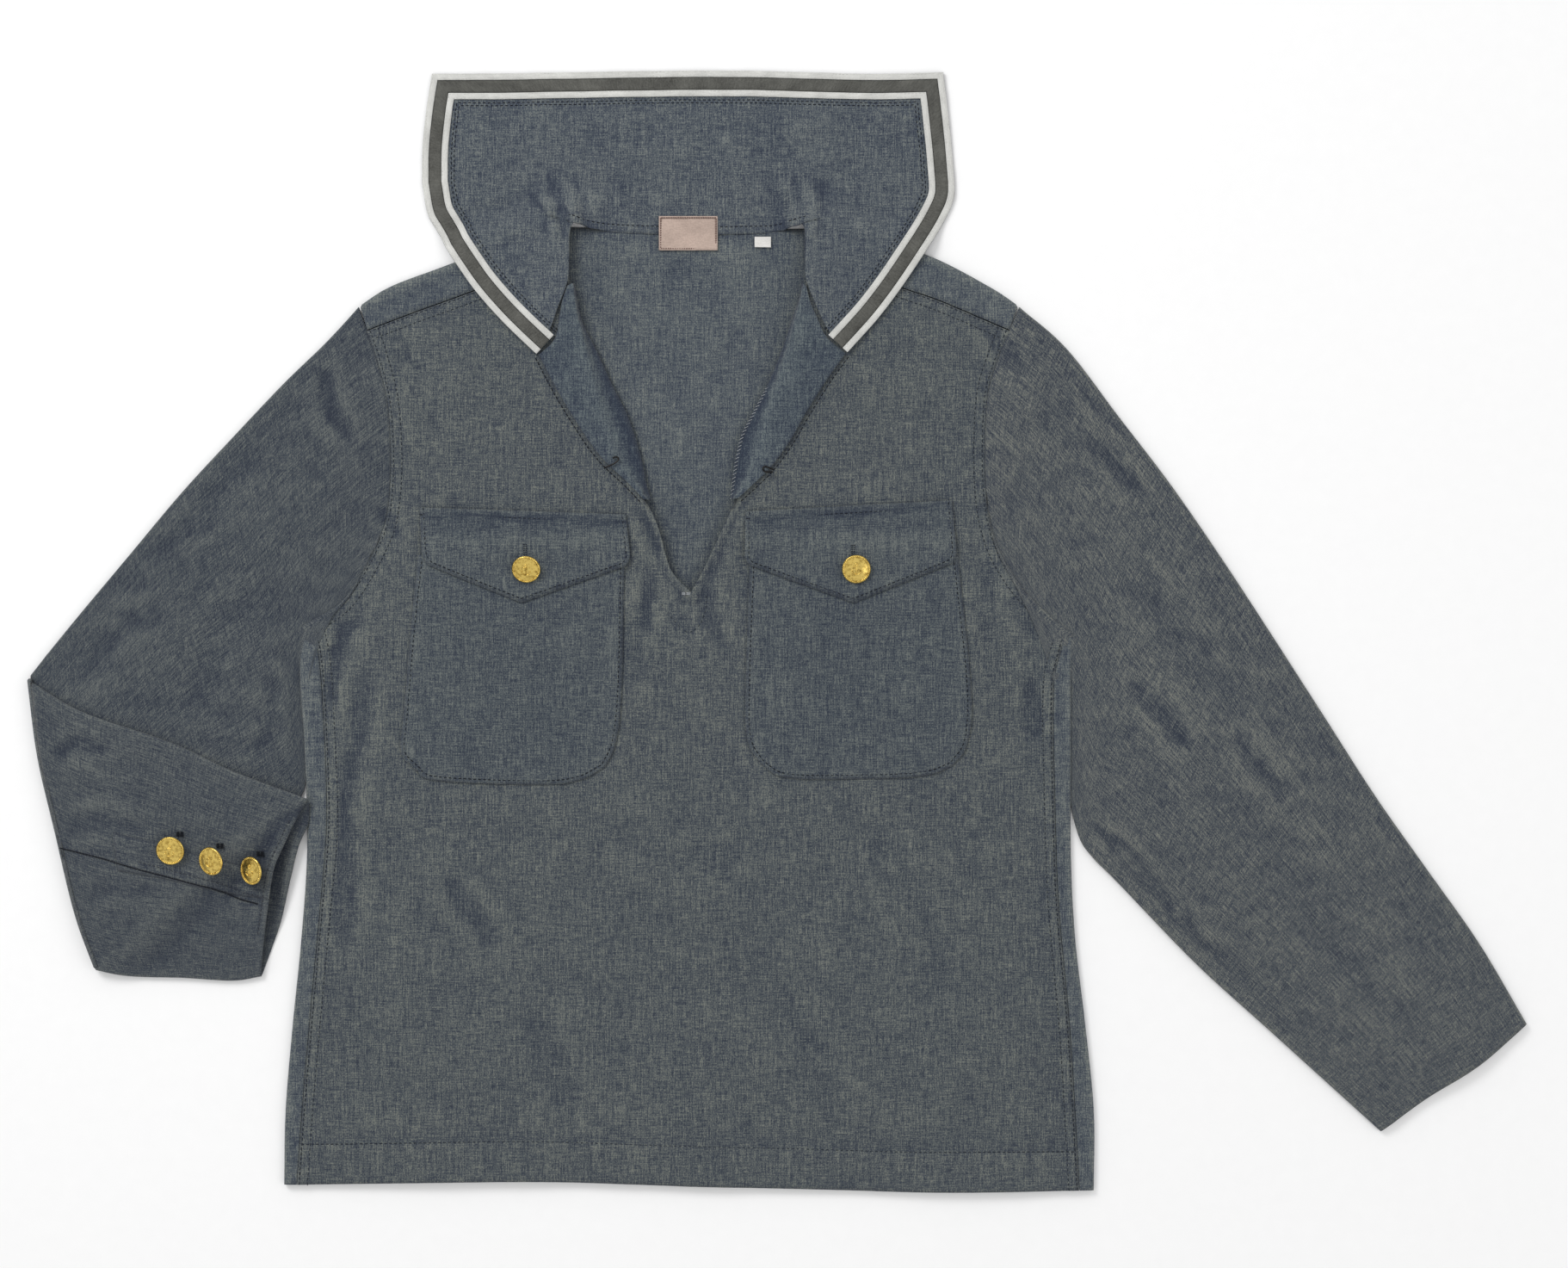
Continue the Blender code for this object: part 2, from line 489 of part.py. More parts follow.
def sleeve_right():
    arm = armhole_ring(ARMHOLE_RIGHT, SLEEVE_RIGHT_LOWER[0], SHOULDER_TIP_RIGHT, -1)
    upper, lower = curve(SLEEVE_RIGHT_UPPER, 11), curve(SLEEVE_RIGHT_LOWER, 11)
    upper[0], lower[0] = arm[0], arm[-1]
    fold = across(ELBOW_FOLD)
    at_fold, bend = 3.4, 2.1

    def height(x, y):
        near = step(fold_distance(x, y) / 60)
        return np.minimum(sleeve_height(x, y, SLEEVE_RIGHT_UPPER, SLEEVE_RIGHT_LOWER), at_fold + 2.6 * near)

    grid = patch(arm, fold, upper, lower, 40, SLEEVE_SHARES)
    rings = flat_rings(grid, height)[:-1]
    tangent = unit(np.gradient(fold, axis=0))
    out = np.column_stack([tangent[:, 1], -tangent[:, 0], np.zeros(len(fold))])
    seat = inset_ends(fold)
    reach = bend + at_fold / 2
    for turn in (0, 45, 90, 135, 180):
        turn = math.radians(turn)
        middle = np.column_stack([seat, np.full(len(seat), at_fold / 2 + bend * (1 - math.cos(turn)))])
        middle = middle + out * (bend * math.sin(turn) - reach)
        normal = np.array([0, 0, math.cos(turn)]) - out * math.sin(turn)
        rings.append(ring(middle, middle, normal, np.full(len(seat), at_fold)))
    edges = curve(FOREARM_UPPER, 10), curve(FOREARM_LOWER, 10)
    top = patch(fold, across(CUFF_MOUTH_TOP), *edges, 1, SLEEVE_SHARES)
    under = patch(fold, across(CUFF_MOUTH_UNDER), *edges, 1, SLEEVE_SHARES)
    share = SLEEVE_SHARES
    for k in range(1, 11):
        base_row, top_row = inset_ends(under[k]), inset_ends(top[k])
        base = forearm_base(base_row[:, 0], base_row[:, 1])
        far = step(fold_distance(base_row[:, 0], base_row[:, 1]) / 50)
        tall = at_fold + (0.6 + 1.4 * np.sin(math.pi * share)) * far
        if k == 10:
            tall = tall + 1.2 * np.sin(math.pi * share)
        up = np.column_stack([base_row, base + tall / 2])
        down = np.column_stack([top_row, base + tall / 2])
        rings.append(ring(up, down, (0, 0, -1), tall))
    rings = np.array(rings)
    cloth("sleeve_right", "chambray", [rings], outside_down=True)
    trimmed("sleeve_right", UNDERARM_CUT_RIGHT)
    return rings


# Trim and fittings
def sewn_on(name, look, edges, cells, height, wall=WALL):
    rows, columns = cells
    flat = patch(curve(edges["low"], columns), curve(edges["high"], columns), curve(edges["left"], rows),
                 curve(edges["right"], rows))
    cloth(name, look, [raised(flat, height)], wall)


def facing(name, out, seam, inner, crest, side):
    """Over the front from its outer edge to the crest, then down into the V to its free edge."""
    lower_rows, upper_rows = 8, 4
    outer = chain(curve(out, lower_rows), curve(seam, upper_rows))
    inside = curve(inner, lower_rows + upper_rows)
    top = curve(crest[3:], 60)
    rows = []
    for a, b in zip(outer, inside):
        t = np.linspace(0, 1, 25)[:, None]
        across = a + (b - a) * t
        gap = np.linalg.norm(across[:, None] - top[None], axis=-1).min(1)
        at = float(np.clip(t[gap.argmin(), 0], 0.3, 0.9))
        row = []
        for share in (0, 0.35, 0.7, 1):
            x, y = a + (b - a) * at * share
            row.append((x, y, float(on_front(np.array(x), np.array(y)))))
        peak = row[-1][2]
        for share, drop in ((0.5, 0.62), (1, 1.0)):
            x, y = a + (b - a) * (at + (1 - at) * share)
            row.append((x, y, peak - (peak - 5.4) * drop))
        rows.append(row)
    grid = np.array(rows)
    cloth(name, "chambray", [grid if side < 0 else grid[:, ::-1]])


def collar():
    outer = chain(*[curve(out, cells) for cells, out, _ in COLLAR_SECTIONS])
    neck = chain(*[curve(in_, cells) for cells, _, in_ in COLLAR_SECTIONS])
    lines = [inset(outer, -by) for by in TAPE_LINES]
    lines[0] = outer
    body_rows = 5
    left = curve([tuple(neck[0]), tuple(lines[-1][0])], body_rows)
    right = curve([tuple(neck[-1]), tuple(lines[-1][-1])], body_rows)
    body = patch(neck, lines[-1], left, right)
    grid = raised(np.concatenate([body, np.stack(lines[-2::-1])]), collar_top)
    cloth("collar", "chambray", [grid])
    rows = len(grid) - 1
    bands = (("collar_edge_tape", "white_tape", rows - 1, rows), ("collar_border_band", "border_band", rows - 2, rows - 1),
             ("collar_inner_tape", "white_tape", rows - 3, rows - 2))
    for name, look, first, last in bands:
        pair = grid[[first, last]] + [0, 0, SEAM_GAP + TRIM_WALL]
        inward = unit(pair[0, :, :2] - pair[1, :, :2])
        pair[0, :, :2] -= 0.15 * inward
        pair[1, :, :2] += 0.15 * inward
        cloth(name, look, [pair], TRIM_WALL)


def box_sheet(name, look, middle, size, base, wall):
    (x, y), (wide, tall) = middle, size
    corners = np.array([[(x - wide / 2, y - tall / 2), (x + wide / 2, y - tall / 2)],
                        [(x - wide / 2, y + tall / 2), (x + wide / 2, y + tall / 2)]], float)
    cloth(name, look, [raised(corners, lambda a, b: base + wall + 0 * a)], wall)


def button(name, x, y, tilt, toward, surface):
    """A button whose low edge is near the surface and whose shank ends on it."""
    turn = math.radians(tilt)
    ahead = np.array([math.cos(math.radians(toward)), math.sin(math.radians(toward))])
    low = np.array([x, y]) - BUTTON_RADIUS * math.cos(turn) * ahead
    centre = max(surface(*low) + BUTTON_RADIUS * math.sin(turn), surface(x, y)) + 2 * SEAM_GAP
    foot = np.array([x, y]) + 3 * math.tan(turn) * ahead
    shank = (centre - surface(*foot) - SEAM_GAP) / math.cos(turn) - 1.6 * math.tan(turn)
    turned(name, "brass", np.array([x, y, centre]), tilt, toward, max(0.3, shank))


def nearby_height(points, x, y):
    """Height at x y, weighted between the points of a grid."""
    weight = 1 / (np.linalg.norm(points[:, :2] - [x, y], axis=1) ** 4 + 1e-6)
    return float((weight * points[:, 2]).sum() / weight.sum())


def main():
    for obj in list(bpy.data.objects):
        bpy.data.objects.remove(obj)
    back_panel()
    front_panel()
    sleeve_left()
    rings = sleeve_right()
    collar()
    facing("neck_facing_right", FACING_OUT_RIGHT, FACING_SEAM_RIGHT, FACING_IN_RIGHT, CREST_RIGHT, -1)
    facing("neck_facing_left", FACING_OUT_LEFT, FACING_SEAM_LEFT, FACING_IN_LEFT, CREST_LEFT, 1)
    pocket_top = lambda x, y: body_top(x, y) + SEAM_GAP + WALL
    flap_top = lambda x, y: pocket_top(x, y) + (SEAM_GAP + WALL) * step((462 - y) / 14)
    for side in ("right", "left"):
        sewn_on("pocket_" + side, "chambray", POCKETS[side], (7, 6), pocket_top)
        sewn_on("pocket_flap_" + side, "chambray", FLAPS[side], (4, 6), flap_top)
    for name, x, y, tilt, toward in POCKET_BUTTONS:
        button(name, x, y, tilt, toward, lambda a, b: float(flap_top(np.array(a), np.array(b))))
    under = SLEEVE_CELLS + 3
    vent = rings[-8:, under + 4: under + 6] + [0, 0, SEAM_GAP + TRIM_WALL]
    cloth("cuff_vent_right", "chambray", [vent], TRIM_WALL, outside_down=True)
    forearm = rings[-10:, under:under + SLEEVE_CELLS + 1].reshape(-1, 3) + [0, 0, SEAM_GAP + TRIM_WALL]
    for name, x, y, tilt, toward, seat in CUFF_BUTTONS:
        button(name, x, y, tilt, toward, lambda a, b: nearby_height(forearm, a, b) + seat)
    for name, table in (("neck_hook", HOOK), ("neck_eye", EYE)):
        height = max(float(on_front(np.array(x), np.array(y))) for x, y in table) + SEAM_GAP + 0.6
        wire(name, "black_metal", [(x, y, height) for x, y in table])
    box_sheet("neck_label", "label_cloth", (-2, 664.5), (41, 24), WALL + SEAM_GAP, 0.8)
    box_sheet("size_tag", "tag_cloth", (50, 658.4), (11.4, 7.4), WALL + SEAM_GAP, 0.6)


main()
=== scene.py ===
"""Looks of the sailor jumper, laid flat with its right sleeve folded across. Tables are in millimetres:
x to the picture's right, y up from the hem, z up from the table. Right and left are the wearer's."""

import math

import bpy
import numpy as np
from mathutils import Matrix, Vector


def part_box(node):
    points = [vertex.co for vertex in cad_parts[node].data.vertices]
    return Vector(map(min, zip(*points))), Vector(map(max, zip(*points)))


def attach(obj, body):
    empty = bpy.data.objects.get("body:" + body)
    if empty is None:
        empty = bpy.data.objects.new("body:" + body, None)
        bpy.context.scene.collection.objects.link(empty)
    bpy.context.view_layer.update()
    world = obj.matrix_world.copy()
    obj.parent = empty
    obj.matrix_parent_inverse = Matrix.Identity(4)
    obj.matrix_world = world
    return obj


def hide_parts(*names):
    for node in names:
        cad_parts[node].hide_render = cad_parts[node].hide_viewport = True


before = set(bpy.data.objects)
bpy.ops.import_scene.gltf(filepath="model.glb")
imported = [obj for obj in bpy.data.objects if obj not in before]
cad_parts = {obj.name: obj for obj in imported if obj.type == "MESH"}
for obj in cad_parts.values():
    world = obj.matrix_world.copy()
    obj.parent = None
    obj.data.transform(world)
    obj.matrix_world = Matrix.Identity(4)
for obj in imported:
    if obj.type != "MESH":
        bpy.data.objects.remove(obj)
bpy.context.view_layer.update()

MM = 0.001
LABEL_MIDDLE = (-2.0, 664.5)
LABEL_LOW, LABEL_HIGH = (np.array(corner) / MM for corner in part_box("neck_label"))
ORIGIN = np.array([*(np.array(LABEL_MIDDLE) - (LABEL_LOW + LABEL_HIGH)[:2] / 2), 0.0])

CELL = 3.2  # mm a cell of a large piece
FINE_CELL = 2.4  # of a small one
CLOTH = 0.6  # thickness shown, mm
WALL = 1.2  # of the solids
TRIM_WALL = 1.0
SEAM_GAP = 0.35
ROLL = 2.0
EDGE_HEIGHT = 2 * ROLL
BODY_RISE = 2.0
COLLAR_LIFT = 1.0
CREST_WIDTH = 3.0

# Outlines, x y
HEM_RIGHT = [(-284, 1), (-158, 3), (-92, 3), (0, 0)]
HEM_LEFT = [(0, 0), (82, -2), (154, -4), (208, -4), (281, -3)]
SIDE_RIGHT = [(-284, 1), (-283, 53), (-278, 113), (-272, 173), (-268, 236), (-270, 311), (-273, 358), (-270, 391)]
SIDE_LEFT = [(281, -3), (281, 53), (275, 113), (268, 173), (265, 233), (265, 317), (265, 358), (266, 385)]
SEAM_RIGHT = [(-275, 1), (-270, 71), (-259, 191), (-254, 259), (-257, 335), (-260, 372), (-264, 391)]
SEAM_LEFT = [(271, -3), (265, 101), (257, 191), (254, 263), (253, 346), (258, 372), (261, 385)]
ARMHOLE_RIGHT = [(-267, 391), (-243, 408), (-226, 433), (-213, 463), (-209, 500), (-211, 545), (-219, 577),
                 (-226, 597)]
ARMHOLE_LEFT = [(263, 385), (242, 405), (225, 425), (211, 453), (205, 490), (206, 547), (214, 577), (222, 597)]
SHOULDER_TIP_RIGHT = (-232, 613)
SHOULDER_TIP_LEFT = (229, 613)
FOLD_RIGHT = [(-232, 613), (-210, 627), (-176, 640), (-132, 656), (-86, 671)]
FOLD_LEFT = [(229, 613), (208, 627), (165, 649), (120, 661), (81, 670)]
SHOULDER_SEAM_RIGHT = [(-226, 597), (-192, 610), (-153, 624), (-86, 649)]
SHOULDER_SEAM_LEFT = [(222, 597), (175, 617), (149, 626), (82, 649)]
BACK_NECK = [(-86, 671), (-62, 665.4), (-2, 663), (40, 663.5), (59, 664.4), (81, 670)]
CREST_RIGHT = [(0, 414), (-11, 430), (-20, 460), (-28, 476), (-39, 489), (-51, 506), (-61, 536), (-69, 567),
               (-77, 602), (-82, 627), (-86, 649)]
CREST_LEFT = [(0, 414), (6, 430), (20, 460), (28, 476), (37, 487), (46, 501), (53, 532), (61, 562), (70, 594),
              (77, 621), (82, 649)]
FACING_OUT_RIGHT = [(-33, 478.5), (-44, 490), (-56, 501), (-66, 512), (-79, 531), (-94, 556), (-106, 579)]
FACING_SEAM_RIGHT = [(-106, 579), (-94.6, 590), (-91.0, 607), (-89.3, 617), (-85.8, 626.5)]
FACING_IN_RIGHT = [(-27.8, 478.5), (-31, 490), (-34, 505), (-39, 523), (-45, 539), (-55, 559), (-65, 581),
                   (-76, 603), (-80, 622), (-81.5, 629)]
FACING_OUT_LEFT = [(33, 479), (45, 490), (56, 501), (69, 519), (81, 540), (95, 562), (108, 580)]
FACING_SEAM_LEFT = [(108, 580), (94.2, 592), (88.8, 603), (83.5, 615), (80.3, 626.5)]
FACING_IN_LEFT = [(27.5, 479), (29, 493), (31, 506), (35, 523), (41, 535), (53, 558), (63, 582), (71, 606),
                  (76, 621), (77, 629)]

# Collar: each row is one length of its border, from the right front end round to the left one, with
# how many cells it has, the outside line and the neck line that faces it
COLLAR_SECTIONS = [
    (6, [(-107.5, 579.5), (-130, 601), (-152, 626), (-171, 654)], [(-98.6, 594.5), (-93, 610), (-85.5, 630), (-84.5, 645)]),
    (6, [(-171, 654), (-176, 664), (-184, 678), (-188, 700)], [(-84.5, 645), (-83, 669.5), (-70, 667.8)]),
    (3, [(-188, 700), (-187, 735), (-181, 776)], [(-70, 667.8), (-52, 665)]),
    (8, [(-181, 776), (-146, 776), (-17, 778), (46, 778), (118, 776), (176, 777)], [(-52, 665), (-2, 663.6), (50, 664.4)]),
    (3, [(176, 777), (181, 735), (184, 700)], [(50, 664.4), (66, 667)]),
    (6, [(184, 700), (183, 687), (175, 670), (166, 655)], [(66, 667), (78, 669.5), (79.5, 645)]),
    (6, [(166, 655), (148, 628), (130, 604), (109, 580.5)], [(79.5, 645), (80.5, 630), (90.6, 605.5), (96.6, 594)]),
]
TAPE_LINES = [0.0, 4.8, 13.4, 18.2]  # how far in from the collar's edge each tape or band starts and ends

# Sleeves. Upper edge, lower edge: the lower one starts at the underarm and runs under the body
SLEEVE_RIGHT_UPPER = [(-232, 613), (-254, 589), (-284, 560), (-320, 522), (-356, 483), (-392, 440), (-428, 397),
                      (-463, 354)]
SLEEVE_RIGHT_LOWER = [(-272, 390), (-276.5, 374), (-276.4, 345), (-273.2, 311), (-272, 286), (-281, 264), (-330, 225),
                      (-416, 151)]
ELBOW_FOLD = [(-463, 354), (-456, 300), (-444, 248), (-430, 190), (-416, 151)]
FOREARM_UPPER = [(-463, 354), (-424, 331), (-363, 310), (-317, 289), (-266, 270)]
FOREARM_LOWER = [(-416, 151), (-392, 146), (-356, 145), (-320, 143), (-300, 146)]
CUFF_MOUTH_TOP = [(-266, 270), (-275, 255), (-283, 238), (-290, 222), (-294, 200), (-298, 174), (-301, 146)]
CUFF_MOUTH_UNDER = [(-260, 269), (-261, 252), (-268, 237), (-275, 212), (-282, 186), (-290, 165), (-297, 147)]
SLEEVE_LEFT_UPPER = [(229, 613), (262, 584), (298, 537), (334, 490), (370, 438), (406, 383), (442, 327), (478, 271),
                     (514, 220), (550, 169), (583, 113)]
SLEEVE_LEFT_LOWER = [(267.3, 384), (267, 360), (267, 320), (267, 275), (270, 244), (280, 229),
                     (298, 211), (352, 155), (406, 106), (481, 38)]
CUFF_LEFT = [(583, 113), (550, 85), (514, 62), (481, 38)]

# Pockets and flaps: lower, upper, right and left edges
POCKETS = {
    "right": dict(low=[(-193, 292), (-178, 283), (-106, 280), (-78, 283), (-60, 292)], high=[(-190, 440), (-46, 440)],
                  left=[(-193, 292), (-202, 303), (-200, 330), (-195, 389), (-190, 440)],
                  right=[(-60, 292), (-52, 310), (-48, 349), (-46, 440)]),
    "left": dict(low=[(48, 295), (66, 285), (115, 284), (161, 286), (182, 293)], high=[(41, 440), (186, 440)],
                 left=[(48, 295), (39, 312), (38, 349), (41, 440)],
                 right=[(182, 293), (193, 310), (195, 349), (186, 440)]),
}
FLAPS = {
    "right": dict(low=[(-187, 441), (-184, 434.5), (-176, 430), (-118, 406.5), (-54, 429), (-45, 432.5), (-42, 439)],
                  high=[(-189, 473), (-45, 468)], left=[(-187, 441), (-189, 473)], right=[(-42, 439), (-45, 468)], point=3),
    "left": dict(low=[(37.5, 439), (40, 433.5), (48, 430), (113, 406.5), (174, 431), (182, 435), (185, 441)],
                 high=[(38, 470), (182, 478)], left=[(37.5, 439), (38, 470)], right=[(185, 441), (182, 478)], point=3),
}

# Buttons: name, middle x y, tilt in degrees and the direction that the raised edge points to. Those on
# the cuff end with their height above the forearm
POCKET_BUTTONS = [("pocket_button_right", -114, 430, 24, 90), ("pocket_button_left", 115, 430, 10, 90)]
CUFF_BUTTONS = [("cuff_button_1", -360, 235, 12, 60, 0.35), ("cuff_button_2", -331, 228, 28, 20, 0.5),
                ("cuff_button_3", -304, 221, 35, 10, 1.0)]
BUTTON_RADIUS = 10.0
BUTTON_DOME = 3.0

# Hook and eye, bent wires on the facings, x y
HOOK = [(-60, 500), (-56.5, 501.5), (-53, 503.2), (-50.5, 505.2), (-50.2, 507), (-52, 507.8), (-54, 506.8)]
EYE = [(57.5, 499.0), (54.5, 500.2), (51.5, 501.2), (50.2, 499.6), (51.2, 497.8), (54.2, 497.2), (57.2, 497.4)]

# Stitching and fastenings that are only shown
HEM_DEPTH = 28.0
CUFF_DEPTH = 3.4
EDGE_STITCH = 2.8
FRONT_POINT = [(-26, 415), (-18, 402), (-9, 391), (-2, 386), (5, 390), (10, 401), (11, 413)]
VENT_LINE = [(-439, 236), (-409, 229), (-384, 222), (-347, 212), (-328, 206), (-313, 200), (-301, 197)]
CUFF_HOLES = [(-354, 246), (-326, 238), (-299, 232)]
POCKET_HOLES = {"right": (-115, 441.5), "left": (113, 441)}
BAR_TACK = (-3, 413)

# Camera and lights
PHOTO_MIDDLE = (64.8, 384.9)
CAMERA_HEIGHT = 1.826  # m
WORLD_LIGHT, KEY_LIGHT, FILL_LIGHT = 0.75, 28.0, 6.0

# Soft folds in the cloth as laid: points, depth and width of each; a negative depth is a ridge
BODY_FOLDS = [
    ([(-34, 469), (-20, 439)], 1.6, 5), ([(-28, 427), (-32, 385)], 1.2, 6), ([(-40, 400), (-44, 352)], 0.8, 9),
    ([(27, 473), (20, 446), (10, 419), (14, 393), (22, 370)], 1.4, 6), ([(-233, 408), (-248, 370), (-254, 327)], 1.8, 7),
    ([(-229, 373), (-232, 310), (-242, 268), (-240, 205), (-242, 154)], 1.5, 7), ([(-170, 213), (-137, 171)], 1.3, 8),
    ([(230, 496), (223, 469)], 1.6, 5), ([(196, 607), (215, 588), (234, 561)], 1.2, 6), ([(236, 352), (240, 314)], 1.5, 7),
    ([(-215, 473), (-205, 455)], 1.2, 6), ([(222, 447), (232, 415), (240, 380)], 1.0, 7),
    ([(-60, 250), (-20, 226), (40, 232)], 0.7, 12), ([(120, 250), (160, 200), (176, 140)], 0.8, 14),
    ([(-120, 130), (-90, 70), (-84, 30)], 0.8, 12), ([(60, 140), (90, 90), (100, 40)], 0.7, 12),
    ([(-208, 596), (-188, 562), (-176, 520)], 0.9, 9), ([(208, 440), (204, 400), (210, 350)], 0.7, 8),
]
SLEEVE_FOLDS = [
    ([(-256, 569), (-250, 538), (-237, 519)], 1.8, 6), ([(-283, 374), (-274, 360), (-274, 320)], 2.4, 5),
    ([(268, 264), (299, 235), (333, 196), (354, 171), (396, 136)], 1.7, 6), ([(274, 559), (304, 521)], 1.4, 6),
    ([(278, 521), (316, 482)], 1.2, 6), ([(308, 352), (347, 306)], 1.4, 7), ([(379, 314), (413, 272)], 1.2, 7),
    ([(300, 440), (350, 370), (392, 330)], 0.8, 12), ([(420, 190), (470, 140), (505, 110)], 0.9, 10),
    ([(-300, 520), (-340, 470), (-372, 440)], 0.9, 10), ([(-300, 420), (-330, 380), (-350, 330)], 0.9, 11),
    ([(-420, 360), (-395, 392), (-370, 402)], 1.2, 8), ([(-445, 300), (-428, 310), (-405, 304)], 1.1, 6),
    ([(-436, 250), (-412, 256), (-380, 250)], 0.9, 7), ([(-425, 200), (-398, 210), (-370, 206)], 0.8, 7),
    ([(-300, 300), (-290, 330), (-288, 360)], 1.0, 8),
]
COLLAR_FOLDS = [
    ([(-78, 660), (-82, 682), (-90, 702)], -2.4, 4), ([(-93, 660), (-98, 682), (-106, 698)], -2.4, 4.5),
    ([(71, 660), (71, 682), (64, 702)], -2.2, 4), ([(84, 660), (85, 682), (80, 700)], -2.4, 4.5),
    ([(-88, 672), (-125, 680), (-165, 672)], 1.1, 6), ([(80, 674), (115, 680), (150, 672)], 1.0, 6),
    ([(-40, 740), (10, 748), (60, 742)], 0.6, 14), ([(-140, 740), (-120, 760)], 0.6, 9),
]



# Lines and grids
def line(table):
    return np.array(table, float)


def curve(table, cells):
    """cells + 1 points evenly spaced on a smooth line through the table."""
    points = line(table)
    if len(points) > 2:
        ends = np.vstack([2 * points[0] - points[1], points, 2 * points[-1] - points[-2]])
        t = np.linspace(0, 1, 8, endpoint=False)[:, None]
        pieces = [0.5 * (2 * b + (c - a) * t + (2 * a - 5 * b + 4 * c - d) * t**2 + (3 * b - a - 3 * c + d) * t**3)
                  for a, b, c, d in zip(ends, ends[1:], ends[2:], ends[3:])]
        points = np.vstack([*pieces, points[-1:]])
    run = np.concatenate([[0], np.cumsum(np.linalg.norm(np.diff(points, axis=0), axis=1))])
    at = np.linspace(0, run[-1], cells + 1)
    return np.column_stack([np.interp(at, run, points[:, k]) for k in range(points.shape[1])])


def chain(*lines):
    return np.vstack([lines[0], *[more[1:] for more in lines[1:]]])


def patch(low, high, left, right, power=1, shares=None):
    """Grid of rows and columns between four edge lines, rows from low to high. A higher power
    leaves the shape of the low line behind sooner. The shares are the columns' places."""
    u = (np.linspace(0, 1, len(low)) if shares is None else shares)[None, :, None]
    v = 1 - (1 - np.linspace(0, 1, len(left))[:, None, None]) ** power
    ruled = (1 - v) * low[None] + v * high[None] + (1 - u) * left[:, None] + u * right[:, None]
    corners = (1 - u) * (1 - v) * low[0] + u * (1 - v) * low[-1] + (1 - u) * v * high[0] + u * v * high[-1]
    return ruled - corners


def raised(grid, height):
    """The flat grid with its z from height(x, y)."""
    x, y = grid[..., 0], grid[..., 1]
    return np.stack([x, y, height(x, y) * np.ones_like(x)], -1)


def unit(v):
    return v / np.linalg.norm(v, axis=-1, keepdims=True)


def step(t):
    t = np.clip(t, 0, 1)
    return t * t * (3 - 2 * t)


def distance(x, y, table):
    start, end = line(table)[:-1], line(table)[1:]
    p = np.stack([x, y], -1)[..., None, :]
    along = end - start
    t = np.clip(((p - start) * along).sum(-1) / (along * along).sum(-1), 0, 1)
    return np.linalg.norm(p - start - t[..., None] * along, axis=-1).min(-1)


def inset(outline, by):
    """The outline moved to its left by this much, with mitred corners."""
    ahead = unit(np.diff(outline, axis=0))
    before, after = np.vstack([ahead[:1], ahead]), np.vstack([ahead, ahead[-1:]])
    left = np.stack([-before[:, 1] - after[:, 1], before[:, 0] + after[:, 0]], -1)
    left = unit(left)
    lean = (left * np.stack([-before[:, 1], before[:, 0]], -1)).sum(-1, keepdims=True)
    return outline + left * by / lean


# Detail of the cloth's height
def waves(x, y, length, seed):
    """Uneven soft waves about 1 high and this long."""
    draw = np.random.default_rng(seed)
    total = 0
    for _ in range(9):
        turn, phase, scale = draw.uniform(0, 2 * math.pi), draw.uniform(0, 2 * math.pi), draw.uniform(0.7, 1.6)
        total = total + np.sin((x * math.cos(turn) + y * math.sin(turn)) * 2 * math.pi / (length * scale) + phase)
    return total / 3


def folds(x, y, table):
    """Hollows along lines, uneven and fading out at both ends, with a low ridge on each side."""
    total = 0
    wander = waves(x, y, 26, 71)
    for points, height, width in table:
        ends = line(points)[[0, -1]]
        middle, reach = ends.mean(0), np.linalg.norm(ends[1] - ends[0]) / 2 + width
        from_middle = np.hypot(x - middle[0], y - middle[1])
        fading = step(2 - 2 * from_middle / reach)
        strength = height * fading * np.clip(1.15 + 0.5 * wander, 0.3, 1.8)
        away = distance(x, y, points) + 0.3 * width * wander
        total = total - strength * np.exp(-((away / width) ** 2))
        total = total + 0.3 * strength * np.exp(-(((away - 2 * width) / width) ** 2))
    return total


def gathers(x, y, table, length, reach, height, seed):
    """Small ripples across a sewn line, strongest beside it."""
    points = line(table)
    direction = unit(points[-1] - points[0])
    along = x * direction[0] + y * direction[1]
    ripple = np.sin(2 * math.pi * along / length + 1.6 * waves(x, y, 6 * length, seed))
    strength = 0.5 + 0.5 * np.clip(waves(x, y, 9 * length, seed + 1), -1, 1)
    return height * strength * ripple * np.exp(-((distance(x, y, table) / reach) ** 2))


def hem_distance(x, y):
    table = line(HEM_RIGHT + HEM_LEFT[1:])
    return y - np.interp(x, table[:, 0], table[:, 1])


